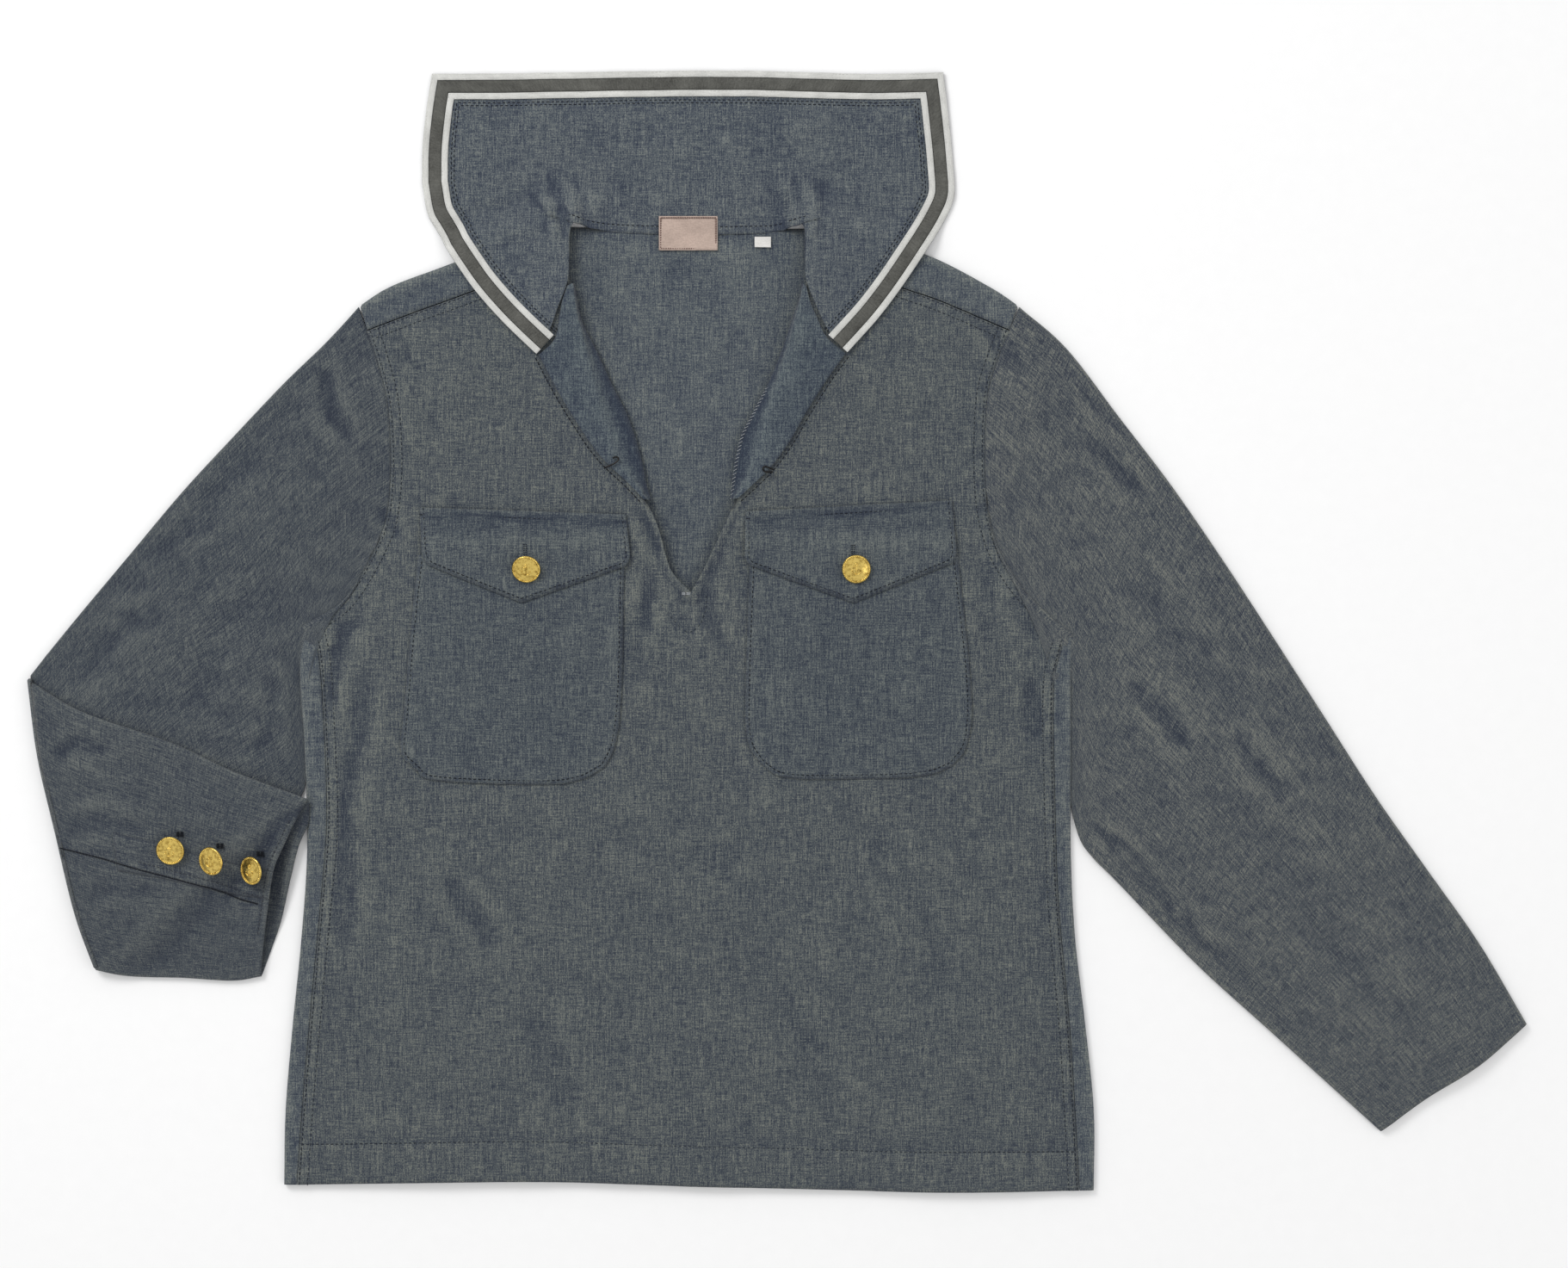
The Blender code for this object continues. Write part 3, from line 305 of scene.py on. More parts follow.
def body_detail(x, y):
    """Creases, ripples and seam thickness of the body, left out of the solids."""
    detail = folds(x, y, BODY_FOLDS)
    detail = detail + 0.55 * waves(x, y, 110, 11) + 0.22 * waves(x, y, 42, 12) + 0.07 * waves(x, y, 17, 13)
    detail = detail - 0.5 * np.exp(-((distance(x, y, FRONT_POINT) / 1.6) ** 2))
    for crest in (CREST_RIGHT, CREST_LEFT):
        from_edge = distance(x, y, crest[:5]) - CREST_WIDTH
        detail = detail + 0.9 * np.exp(-(((from_edge - 1) / 1.8) ** 2)) - 0.6 * np.exp(-(((from_edge - 4.6) / 1.3) ** 2))
    up = hem_distance(x, y)
    detail = detail + 0.45 * (1 - step((up - HEM_DEPTH) / 1.5)) - 0.3 * np.exp(-(((up - HEM_DEPTH) / 1.1) ** 2))
    for seam, away in ((SEAM_RIGHT, 4), (SEAM_LEFT, -4)):
        middle = [(px + away, py) for px, py in seam]
        detail = detail + 0.45 * np.exp(-((distance(x, y, middle) / 4) ** 4))
        detail = detail + gathers(x, y, seam, 13, 11, 0.32, 21)
    for seam, seed in ((ARMHOLE_RIGHT, 23), (ARMHOLE_LEFT, 25), (SHOULDER_SEAM_RIGHT, 27), (SHOULDER_SEAM_LEFT, 29)):
        detail = detail + gathers(x, y, seam, 15, 12, 0.35, seed)
    detail = detail + gathers(x, y, [(-284, HEM_DEPTH), (281, HEM_DEPTH - 4)], 11, 13, 0.3, 31)
    edge = np.minimum.reduce([distance(x, y, table) for table in (SIDE_RIGHT, SIDE_LEFT, FOLD_RIGHT, FOLD_LEFT)])
    return np.maximum(detail, -1.4) * step(edge / 9)


# Heights
def body_form(x, y):
    edge = np.minimum.reduce([distance(x, y, table) for table in (SIDE_RIGHT, SIDE_LEFT, FOLD_RIGHT, FOLD_LEFT)])
    rise = BODY_RISE * step((edge - 8) / 70) * (0.5 + 0.5 * step(y / 50))
    crest = np.minimum(distance(x, y, CREST_RIGHT), distance(x, y, CREST_LEFT))
    lip = 3.6 * step((y - 405) / 70) * np.exp(-((crest / 22) ** 2))
    return EDGE_HEIGHT + rise + lip


def body_top(x, y):
    """Top of the front, and of the strips of the back that wrap onto it."""
    return body_form(x, y) + body_detail(x, y)


def fold_y(x):
    """y of the shoulder fold line, carried across the neck."""
    table = line(FOLD_RIGHT + FOLD_LEFT[::-1])
    return np.interp(x, table[:, 0], table[:, 1])


def collar_top(x, y):
    """The collar lies on the front, goes over the shoulder fold and down to the table behind the neck."""
    over = body_top(x, np.minimum(y, fold_y(x))) + COLLAR_LIFT + WALL
    beyond = 0.93 * (y - fold_y(x))
    side = over + (WALL - over) * step((beyond - 3) / 26)
    flat = WALL + (side - WALL) * step((np.abs(x) - 56) / 26)
    own = folds(x, y, COLLAR_FOLDS) + 0.35 * waves(x, y, 60, 41) + 0.16 * waves(x, y, 22, 42)
    own = own + gathers(x, y, BACK_NECK, 12, 12, 0.4, 43)
    return flat + np.maximum(own, -0.4)


def on_front(x, y):
    return body_top(x, y) + COLLAR_LIFT + WALL


# Meshes
def place(points):
    return (np.asarray(points, float) - ORIGIN) * MM


def mesh_object(name, points, faces, look, smooth=True):
    mesh = bpy.data.meshes.new(name)
    mesh.from_pydata(place(points).tolist(), [], [list(map(int, face)) for face in faces])
    mesh.validate()
    mesh.polygons.foreach_set("use_smooth", [smooth] * len(mesh.polygons))
    mesh.materials.append(look)
    made = bpy.data.objects.new(name, mesh)
    bpy.context.scene.collection.objects.link(made)
    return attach(made, "root")


def laid_out(grid):
    """Where each point of the grid lies on the flat cloth: across and along, in mm."""
    across = np.linalg.norm(np.diff(grid, axis=1), axis=-1).mean(0)
    along = np.linalg.norm(np.diff(grid, axis=0), axis=-1).mean(1)
    u, v = np.concatenate([[0], np.cumsum(across)]), np.concatenate([[0], np.cumsum(along)])
    return np.stack(np.broadcast_arrays(u[None, :], v[:, None]), -1)


def stands_out(grid):
    """How far each point is above the cloth round it: 0.5 where level, less in a hollow and more on a ridge. The
    cloth's colour uses it for painted shade in hollows and a painted highlight on ridges.
    """
    z = grid[..., 2]
    soft = z
    for _ in range(10):
        wide = np.pad(soft, 1, mode="edge")
        soft = (wide[:-2, 1:-1] + wide[2:, 1:-1] + wide[1:-1, :-2] + wide[1:-1, 2:] + soft) / 5
    return np.clip(0.5 + 0.36 * (z - soft), 0.12, 0.68)


def seen_flat(grid):
    return grid[..., :2]


def cloth(node, look, grids, pattern=seen_flat, wall=CLOTH, outside_down=False):
    """One piece of cloth: grids of its outer face, welded, with an inner face a wall away and a rim."""
    points = np.concatenate([grid.reshape(-1, 3) for grid in grids])
    spread = np.concatenate([pattern(grid).reshape(-1, 2) for grid in grids])
    # How far each point stands out: it drives the painted shade in hollows and the painted highlight on ridges of the
    # cloth's colour
    painted_fold_shading = np.concatenate([stands_out(grid).reshape(-1) for grid in grids])
    quads, start = [], 0
    for grid in grids:
        rows, columns = grid.shape[:2]
        ids = start + np.arange(rows * columns).reshape(rows, columns)
        quads.append(np.stack([ids[:-1, :-1], ids[:-1, 1:], ids[1:, 1:], ids[1:, :-1]], -1).reshape(-1, 4))
        start += rows * columns
    quads = np.concatenate(quads)
    if outside_down:
        quads = quads[:, ::-1]
    _, first, index = np.unique(np.round(points, 2), axis=0, return_index=True, return_inverse=True)
    corners = spread[quads]
    points, quads, painted_fold_shading = points[first], index.reshape(-1)[quads], painted_fold_shading[first]
    a, b, c, d = (points[quads[:, k]] for k in range(4))
    turned_area = np.cross(c - a, d - b)
    normals = np.zeros_like(points)
    for k in range(4):
        np.add.at(normals, quads[:, k], turned_area)
    inner = points - wall * unit(normals + [0, 0, 1e-9])
    inner[:, 2] = np.maximum(inner[:, 2], 0)
    count = len(points)
    sides = np.concatenate([quads[:, [k, (k + 1) % 4]] for k in range(4)])
    side_corners = np.concatenate([corners[:, [k, (k + 1) % 4]] for k in range(4)])
    key, back = sides[:, 0] * count + sides[:, 1], sides[:, 1] * count + sides[:, 0]
    rim = ~np.isin(key, back) & (sides[:, 0] != sides[:, 1])
    rims = np.column_stack([sides[rim][:, ::-1], sides[rim] + count])
    rim_corners = np.concatenate([side_corners[rim][:, ::-1], side_corners[rim]], 1)
    faces = np.concatenate([quads, quads[:, ::-1] + count, rims])
    uv = np.concatenate([corners, corners[:, ::-1], rim_corners])
    mesh = bpy.data.meshes.new(node + "_cloth")
    mesh.from_pydata(place(np.vstack([points, inner])).tolist(), [], faces.tolist())
    mesh.uv_layers.new(name="pattern").data.foreach_set("uv", (uv.reshape(-1) * MM).tolist())
    # Kept on the mesh for the painted fold shade and highlight
    mesh.attributes.new("painted_fold_shading", "FLOAT", "POINT").data.foreach_set("value", np.tile(painted_fold_shading, 2).tolist())
    mesh.validate()
    mesh.polygons.foreach_set("use_smooth", [True] * len(mesh.polygons))
    mesh.materials.append(look)
    made = bpy.data.objects.new(node + "_cloth", mesh)
    bpy.context.scene.collection.objects.link(made)
    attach(made, "root")
    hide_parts(node)
    return made


# Body
SIDE_ROWS, ARM_ROWS = round(390 / CELL), round(225 / CELL)
HALF_COLUMNS = round(270 / CELL)
HALVES = (
    (-1, SEAM_RIGHT, ARMHOLE_RIGHT, SHOULDER_SEAM_RIGHT, HEM_RIGHT, CREST_RIGHT),
    (1, SEAM_LEFT, ARMHOLE_LEFT, SHOULDER_SEAM_LEFT, HEM_LEFT, CREST_LEFT),
)


def front_panel(look):
    halves = []
    for side, seam, armhole, shoulder, hem, crest in HALVES:
        seam = [(x - side * SEAM_GAP, y) for x, y in seam]
        armhole = [seam[-1]] + [(x, y) for x, y in armhole[1:]]
        shoulder = [(x, y - SEAM_GAP - 0.5) for x, y in shoulder]
        armhole[-1] = shoulder[0]
        crest = [crest[0]] + [(x + side * CREST_WIDTH, y) for x, y in crest[1:]]
        crest[-1] = (crest[-1][0], crest[-1][1] - 0.37 * CREST_WIDTH - SEAM_GAP - 0.5)
        hem = [(x, y) for x, y in hem]
        hem[0 if side < 0 else -1] = seam[0]
        outer = chain(curve(seam, SIDE_ROWS), curve(armhole, ARM_ROWS))
        centre = hem[-1] if side < 0 else hem[0]
        inner = chain(curve([centre, crest[0]], SIDE_ROWS), curve(crest, ARM_ROWS))
        low, high = curve(hem, HALF_COLUMNS), curve(shoulder, HALF_COLUMNS)
        if side < 0:
            high[-1] = inner[-1]
            flat = patch(low, high, outer, inner)
        else:
            high = high[::-1]
            high[0] = inner[-1]
            flat = patch(low, high, inner, outer)
        halves.append(raised(flat, body_top))
    cloth("front_panel", look, halves)


def wrap(edge, outward, seam):
    """Points round a fold, from the edge of the flat part to the seam on top: [place][step]."""
    steps = []
    for turn in (26, 51, 77, 103, 129, 154, 180):
        turn = math.radians(turn)
        spot = edge + outward * ROLL * math.sin(turn)
        steps.append(np.column_stack([spot, np.full(len(spot), ROLL * (1 - math.cos(turn)))]))
    flat_edge = steps[-1][:, :2]
    for share in (0.2, 0.4, 0.6, 0.8, 1):
        spot = flat_edge + (seam - flat_edge) * share
        steps.append(np.column_stack([spot, body_top(spot[:, 0], spot[:, 1])]))
    return np.stack(steps, 1)


def back_height(x, y):
    """Flat on the table, with the ripples of the part that shows in the neck."""
    inside = step((y - 430) / 60) * step((92 - np.abs(x)) / 40) * step((664 - y) / 14)
    return inside * (0.9 + 0.5 * waves(x, y, 70, 51) + 0.12 * waves(x, y, 24, 52) + 0.05 * waves(x, y, 9, 53))


def back_panel(look):
    outlines = []
    for side, edge, armhole in ((-1, SIDE_RIGHT, ARMHOLE_RIGHT), (1, SIDE_LEFT, ARMHOLE_LEFT)):
        tip = FOLD_RIGHT[0] if side < 0 else FOLD_LEFT[0]
        inner_edge = [(x - side * ROLL, y) for x, y in edge]
        fold_edge = [inner_edge[-1], *armhole[1:-1], (tip[0] - side * ROLL, tip[1] - ROLL)]
        outlines.append(chain(curve(inner_edge, SIDE_ROWS), curve(fold_edge, ARM_ROWS)))
    shoulder_cells, neck_cells = HALF_COLUMNS // 2, HALF_COLUMNS // 2
    fold_r = curve([(x, y - ROLL) for x, y in FOLD_RIGHT], shoulder_cells)
    fold_l = curve([(x, y - ROLL) for x, y in FOLD_LEFT[::-1]], shoulder_cells)
    fold_r[0], fold_l[-1] = outlines[0][-1], outlines[1][-1]
    neck = curve([tuple(fold_r[-1]), *[(x, y + 3) for x, y in BACK_NECK[1:-1]], tuple(fold_l[0])], neck_cells)
    high = chain(fold_r, neck, fold_l)
    low = curve([tuple(outlines[0][0]), *HEM_RIGHT[1:], *HEM_LEFT[1:-1], tuple(outlines[1][0])], len(high) - 1)
    flat = raised(patch(low, high, outlines[0], outlines[1]), back_height)
    columns = flat.shape[1]
    pieces = [flat]
    for side, column, seam in ((-1, 0, SEAM_RIGHT), (1, -1, SEAM_LEFT)):
        edge = flat[: SIDE_ROWS + 1, column, :2]
        strip = wrap(edge, np.array([[float(side), 0.0]]), curve(seam, SIDE_ROWS))
        strip = np.concatenate([flat[: SIDE_ROWS + 1, column][:, None], strip], 1)
        pieces.append(strip[:, ::-1] if side < 0 else strip)
    for side, where, seam in ((-1, slice(0, shoulder_cells + 1), SHOULDER_SEAM_RIGHT),
                              (1, slice(columns - shoulder_cells - 1, columns), SHOULDER_SEAM_LEFT[::-1])):
        edge = flat[-1, where, :2]
        strip = wrap(edge, np.array([[side * 0.36, 0.93]]), curve(seam, shoulder_cells))
        strip = np.concatenate([flat[-1, where][:, None], strip], 1)
        pieces.append(np.swapaxes(strip, 0, 1))
    cloth("back_panel", look, pieces, outside_down=True)


# Sleeves
SHARE_KNOTS = [0, 0.14, 0.28, 0.43, 0.58, 0.71, 0.83, 0.93, 1]  # closer by the lower edge
ACROSS_CELLS = 8 * round(25 / CELL)
SLEEVE_SHARES = np.interp(np.linspace(0, 8, ACROSS_CELLS + 1), np.arange(9), SHARE_KNOTS)
CAP_TURNS = np.radians((26, 51, 77, 103, 129, 154))[:, None]
HIDDEN_LOWER = line([(-419, 152), (-268, 276)])  # the upper arm's lower edge under the forearm
AT_FOLD, BEND = 3.4, 2.1  # thickness at the elbow fold, and radius of the bend


def ring(up_line, under_line, normal, height, up_more=0, under_more=0):
    """One closed ring of a flattened tube: along the upper layer, round the lower edge, back and round."""
    normal = unit(np.asarray(normal, float)) * np.ones((len(up_line), 1))
    half = height[:, None] / 2
    up, under = up_line + normal * half, under_line - normal * half
    up[:, 2] += up_more
    under[:, 2] += under_more

    def cap(end, before):
        middle = (up_line[end] + under_line[end]) / 2
        out = unit(middle - (up_line[before] + under_line[before]) / 2)
        return middle + half[end] * (out * np.sin(CAP_TURNS) + normal[end] * np.cos(CAP_TURNS))

    return np.vstack([up, cap(-1, -2), under[::-1], cap(0, 1)[::-1], up[:1]])


def across(table):
    """Points on the line at the places of SLEEVE_SHARES."""
    points = curve(table, 400)
    return np.column_stack([np.interp(SLEEVE_SHARES, np.linspace(0, 1, 401), points[:, k]) for k in (0, 1)])


def inset_ends(row, by=ROLL):
    """The row of points squeezed along itself, so that both ends leave room for the round edges of the tube."""
    run = np.concatenate([[0], np.cumsum(np.linalg.norm(np.diff(row, axis=0), axis=1))])
    at = by + run * (run[-1] - 2 * by) / run[-1]
    return np.column_stack([np.interp(at, run, row[:, k]) for k in (0, 1)])


def armhole_ring(armhole, underarm, tip, side):
    """The sleeve's line along the armhole, from the shoulder down."""
    moved = [(x + side * 0.15, y) for x, y in [*armhole[1:], tip]]
    return across([underarm, *moved][::-1])


def sleeve_detail(x, y, upper, lower, cuff, depth):
    """Creases and ripples of a sleeve, and the double cloth of its cuff."""
    detail = folds(x, y, SLEEVE_FOLDS) + 0.5 * waves(x, y, 75, 61) + 0.2 * waves(x, y, 30, 62) + 0.07 * waves(x, y, 13, 63)
    from_cuff = distance(x, y, cuff)
    detail = detail + 0.5 * (1 - step((from_cuff - depth) / 1.5)) - 0.35 * np.exp(-(((from_cuff - depth) / 1.1) ** 2))
    edge = np.minimum(distance(x, y, upper), distance(x, y, lower))
    for table, seed in ((ARMHOLE_RIGHT, 71), (ARMHOLE_LEFT, 73)):
        detail = detail + gathers(x, y, table, 14, 18, 0.5, seed)
    return np.maximum(detail, -1.3) * step(edge / 12)


def sleeve_height(x, y, upper, lower):
    """Height of the upper layer: low at both edges."""
    edge = np.minimum(distance(x, y, upper), distance(x, y, lower))
    return EDGE_HEIGHT + BODY_RISE * step((edge - 4) / 60)


def under_body(table, side):
    """The sleeve's lower edge, moved under the body's side where it runs along it."""
    return [(x - side * 3.5 * (y > 262), y) for x, y in table]


def flat_rings(grid, armhole, height, detail):
    """Rings of a sleeve on the table. The first one is at the body's height."""
    rings = []
    for row in grid:
        row = inset_ends(row)
        x, y = row[:, 0], row[:, 1]
        share = np.clip(distance(x, y, armhole) / 36, 0, 1)
        tall = (1 - share) * body_form(x, y) + share * height(x, y)
        more = (1 - share) * body_detail(x, y) + share * detail(x, y)
        side = np.minimum(distance(x, y, SIDE_RIGHT[3:]), distance(x, y, SIDE_LEFT[3:]))
        tall = tall * (1 - 0.55 * np.exp(-((side / 9) ** 2)) * share)
        middle = np.column_stack([row, tall / 2])
        rings.append(ring(middle, middle, (0, 0, 1), tall, more))
    return rings


def sleeve_left(look):
    arm = armhole_ring(ARMHOLE_LEFT, SLEEVE_LEFT_LOWER[0], SHOULDER_TIP_LEFT, 1)
    rows = round(560 / CELL)
    upper, lower = curve(SLEEVE_LEFT_UPPER, rows), curve(under_body(SLEEVE_LEFT_LOWER, 1), rows)
    upper[0], lower[0] = arm[0], arm[-1]
    grid = patch(arm, across(CUFF_LEFT), upper, lower, 40 * 14 / rows, SLEEVE_SHARES)
    rings = flat_rings(grid, ARMHOLE_LEFT, lambda x, y: sleeve_height(x, y, SLEEVE_LEFT_UPPER, SLEEVE_LEFT_LOWER),
                       lambda x, y: sleeve_detail(x, y, SLEEVE_LEFT_UPPER, SLEEVE_LEFT_LOWER, CUFF_LEFT, CUFF_DEPTH))
    cloth("sleeve_left", look, [np.array(rings)], laid_out)
    return rings


def fold_distance(x, y):
    return distance(x, y, ELBOW_FOLD)


def forearm_base(x, y):
    """Under side of the forearm: on the upper arm, down to the table beyond it, up over the body's edge."""
    away = unit(HIDDEN_LOWER[1] - HIDDEN_LOWER[0])
    beyond = (x - HIDDEN_LOWER[0, 0]) * away[1] - (y - HIDDEN_LOWER[0, 1]) * away[0]
    resting = 4.2 + 2.6 * step(fold_distance(x, y) / 60)
    resting = resting * (1 - step((beyond - 3) / 26))
    over_body = (EDGE_HEIGHT + 0.6) * step((x + 292) / 16)
    return np.maximum(resting, over_body)


def uncovered(x, y):
    """0 where the forearm lies on the upper arm, 1 clear of it."""
    table = line(FOREARM_UPPER)
    return step((y - np.interp(x, table[:, 0], table[:, 1]) - 1) / 10)


def sleeve_right(look):
    arm = armhole_ring(ARMHOLE_RIGHT, SLEEVE_RIGHT_LOWER[0], SHOULDER_TIP_RIGHT, -1)
    rows = round(340 / CELL)
    upper, lower = curve(SLEEVE_RIGHT_UPPER, rows), curve(under_body(SLEEVE_RIGHT_LOWER, -1), rows)
    upper[0], lower[0] = arm[0], arm[-1]
    fold = across(ELBOW_FOLD)

    def height(x, y):
        near = step(fold_distance(x, y) / 60)
        return np.minimum(sleeve_height(x, y, SLEEVE_RIGHT_UPPER, SLEEVE_RIGHT_LOWER), AT_FOLD + 2.6 * near)

    def detail(x, y):
        shown = sleeve_detail(x, y, SLEEVE_RIGHT_UPPER, SLEEVE_RIGHT_LOWER, CUFF_MOUTH_TOP, 0)
        return shown * uncovered(x, y) * step(fold_distance(x, y) / 20)

    grid = patch(arm, fold, upper, lower, 40 * 11 / rows, SLEEVE_SHARES)
    rings = flat_rings(grid, ARMHOLE_RIGHT, height, detail)[:-1]
    tangent = unit(np.gradient(fold, axis=0))
    out = np.column_stack([tangent[:, 1], -tangent[:, 0], np.zeros(len(fold))])
    seat = inset_ends(fold)
    reach = BEND + AT_FOLD / 2
    for turn in np.radians(np.linspace(0, 180, 9)):
        middle = np.column_stack([seat, np.full(len(seat), AT_FOLD / 2 + BEND * (1 - math.cos(turn)))])
        middle = middle + out * (BEND * math.sin(turn) - reach)
        normal = np.array([0, 0, math.cos(turn)]) - out * math.sin(turn)
        rings.append(ring(middle, middle, normal, np.full(len(seat), AT_FOLD)))
    rows = round(190 / CELL)
    edges = curve(FOREARM_UPPER, rows), curve(FOREARM_LOWER, rows)
    top = patch(fold, across(CUFF_MOUTH_TOP), *edges, 1, SLEEVE_SHARES)
    under = patch(fold, across(CUFF_MOUTH_UNDER), *edges, 1, SLEEVE_SHARES)
    bulge = np.sin(math.pi * SLEEVE_SHARES)
    for k in range(1, rows + 1):
        base_row, top_row = inset_ends(under[k]), inset_ends(top[k])
        base = forearm_base(base_row[:, 0], base_row[:, 1])
        far = step(fold_distance(base_row[:, 0], base_row[:, 1]) / 50)
        tall = AT_FOLD + (0.6 + 1.4 * bulge) * far + 1.2 * bulge * step((k / rows - 0.86) / 0.14)
        x, y = top_row[:, 0], top_row[:, 1]
        more = sleeve_detail(x, y, FOREARM_UPPER, FOREARM_LOWER, CUFF_MOUTH_TOP, CUFF_DEPTH)
        more = more * step(fold_distance(x, y) / 24) + gathers(x, y, VENT_LINE, 12, 12, 0.5, 75)
        up = np.column_stack([base_row, base + tall / 2])
        down = np.column_stack([top_row, base + tall / 2])
        rings.append(ring(up, down, (0, 0, -1), tall, 0, more))
    rings = np.array(rings)
    cloth("sleeve_right", look, [rings], laid_out, outside_down=True)
    forearm_top = ACROSS_CELLS + 1 + len(CAP_TURNS)
    return rings[-rows:, forearm_top:forearm_top + ACROSS_CELLS + 1]


# Trim and fittings
def sewn_on(node, look, edges, height, wall=CLOTH):
    rows = round(np.linalg.norm(line(edges["high"])[0] - line(edges["low"])[0]) / FINE_CELL)
    columns = round(np.linalg.norm(line(edges["low"])[-1] - line(edges["low"])[0]) / FINE_CELL)
    low = curve(edges["low"], columns)
    if "point" in edges:
        columns = 2 * (columns // 2)
        low = chain(curve(edges["low"][:edges["point"] + 1], columns // 2), curve(edges["low"][edges["point"]:], columns // 2))
    grid = patch(low, curve(edges["high"], columns), curve(edges["left"], rows), curve(edges["right"], rows))
    cloth(node, look, [raised(grid, height)], wall=wall)


def pocket_top(x, y):
    return body_form(x, y) + 0.8 * body_detail(x, y) + SEAM_GAP + WALL


def edge_roll(x, y, edges, drop):
    """How far a turned-in edge drops towards the cloth below it, and the small ripples of its stitching."""
    sides = [distance(x, y, edges[side]) for side in ("low", "left", "right")]
    away = np.minimum.reduce(sides)
    groove = -0.28 * np.exp(-(((away - EDGE_STITCH) / 0.9) ** 2))
    ripple = 0.16 * waves(x, y, 9, 81) * np.exp(-((away / 9) ** 2)) + 0.12 * waves(x, y, 26, 82)
    return groove + ripple - drop * np.exp(-((away / 1.2) ** 2))


def pocket_height(edges):
    return lambda x, y: pocket_top(x, y) + 0.25 + edge_roll(x, y, edges, 0.9)


def flap_height(edges):
    def height(x, y):
        top = distance(x, y, edges["high"])
        groove = -1.1 * np.exp(-(((top - 5) / 1.6) ** 2))
        return pocket_top(x, y) + (SEAM_GAP + WALL) * step((462 - y) / 14) + 0.5 + edge_roll(x, y, edges, 0.6) + groove
    return height


def facing(node, look, out, seam, inner, crest, side):
    """Over the front from its outer edge to the crest, then down into the V to its free edge."""
    lower_rows, upper_rows = round(125 / FINE_CELL), round(50 / FINE_CELL)
    outer = chain(curve(out, lower_rows), curve(seam, upper_rows))
    inside = curve(inner, lower_rows + upper_rows)
    top = curve(crest[3:], 60)
    shares = np.array([0, 0.04, 0.12, 0.22, 0.33, 0.44, 0.56, 0.68, 0.8, 0.9, 1])
    rows = []
    for a, b in zip(outer, inside):
        t = np.linspace(0, 1, 61)[:, None]
        gap = np.linalg.norm((a + (b - a) * t)[:, None] - top[None], axis=-1).min(1)
        at = float(np.clip(t[gap.argmin(), 0], 0.3, 0.9))
        flat_part = a + (b - a) * at * shares[:, None]
        z = on_front(flat_part[:, 0], flat_part[:, 1])
        z = z + 0.25 - 0.7 * np.exp(-(shares * 40 / 2) ** 2)
        fall = np.array([0.12, 0.27, 0.5, 0.75, 1.0])
        drop = np.sin(fall * math.pi / 2) ** 1.2
        down_part = a + (b - a) * (at + (1 - at) * fall[:, None])
        down = z[-1] - (z[-1] - 5.4) * drop
        rows.append(np.vstack([np.column_stack([flat_part, z]), np.column_stack([down_part, down])]))
    grid = np.array(rows)
    grid[..., 2] += 0.22 * waves(grid[..., 0], grid[..., 1], 24, 91) + 0.1 * waves(grid[..., 0], grid[..., 1], 9, 92)
    cloth(node, look, [grid if side < 0 else grid[:, ::-1]])


def border_cells(cells):
    return round(cells * 26 / FINE_CELL)


def border_line(by):
    """The collar's edge moved in by this much, with its corners kept sharp."""
    coarse = chain(*[curve(out, cells) for cells, out, _ in COLLAR_SECTIONS])
    moved = inset(coarse, -by) if by else coarse
    pieces, start = [], 0
    for cells, _, _ in COLLAR_SECTIONS:
        pieces.append(curve(moved[start:start + cells + 1], border_cells(cells)))
        start += cells
    return chain(*pieces)


def collar(look, tape_look, band_look):
    outer = border_line(0)
    neck = chain(*[curve(in_, border_cells(cells)) for cells, _, in_ in COLLAR_SECTIONS])
    body_rows = round(90 / FINE_CELL)
    last = border_line(TAPE_LINES[-1])
    left = curve([tuple(neck[0]), tuple(last[0])], body_rows)
    right = curve([tuple(neck[-1]), tuple(last[-1])], body_rows)
    body = patch(neck, last, left, right)
    border = [border_line(by) for by in (15.8, 13.4, 11.2, 9.1, 7, 4.8, 3.2, 1.6)] + [outer]
    grid = raised(np.concatenate([body, np.stack(border)]), collar_top)
    cloth("collar", look, [grid])
    bands = (
        ("collar_edge_tape", "white_tape", tape_look, (0.1, 0.5, 2.4, 4.3, 4.7), (0.01, 0.75), 0.0),
        ("collar_border_band", "border_band", band_look, (4.9, 5.3, 7.5, 9.1, 11, 12.9, 13.3), (0.01, 0.73), 0.1),
        ("collar_inner_tape", "white_tape", tape_look, (13.5, 13.9, 15.8, 17.7, 18.1), (0.01, 0.7), 0.0),
    )
    for node, slot, band_material, lines, flat, sink in bands:
        rows = np.stack([raised(border_line(by), collar_top) for by in lines[::-1]])
        rows[..., 2] += SEAM_GAP + TRIM_WALL - 0.25 - sink
        rows[[0, -1], :, 2] -= 0.45
        rows[..., 2] += 0.1 * waves(rows[..., 0], rows[..., 1], 12, 95)
        cloth(node, band_material, [rows], laid_out, TRIM_WALL * 0.7)


def box_sheet(node, look, middle, size, lift):
    (x, y), (wide, tall) = middle, size
    across_line, up_line = np.linspace(-0.5, 0.5, 25), np.linspace(-0.5, 0.5, 15)
    u, v = np.meshgrid(across_line, up_line)
    px, py = x + wide * u, y + tall * v
    z = np.maximum(back_height(px, py), 0) + lift + 0.35 * waves(px, py, 16, 97) * (0.3 + np.abs(u))
    grid = np.stack([px, py, np.maximum(z, lift * 0.8)], -1)
    cloth(node, look, [grid], lambda g: np.stack([g[..., 0] - x, g[..., 1] - y], -1), 0.5)


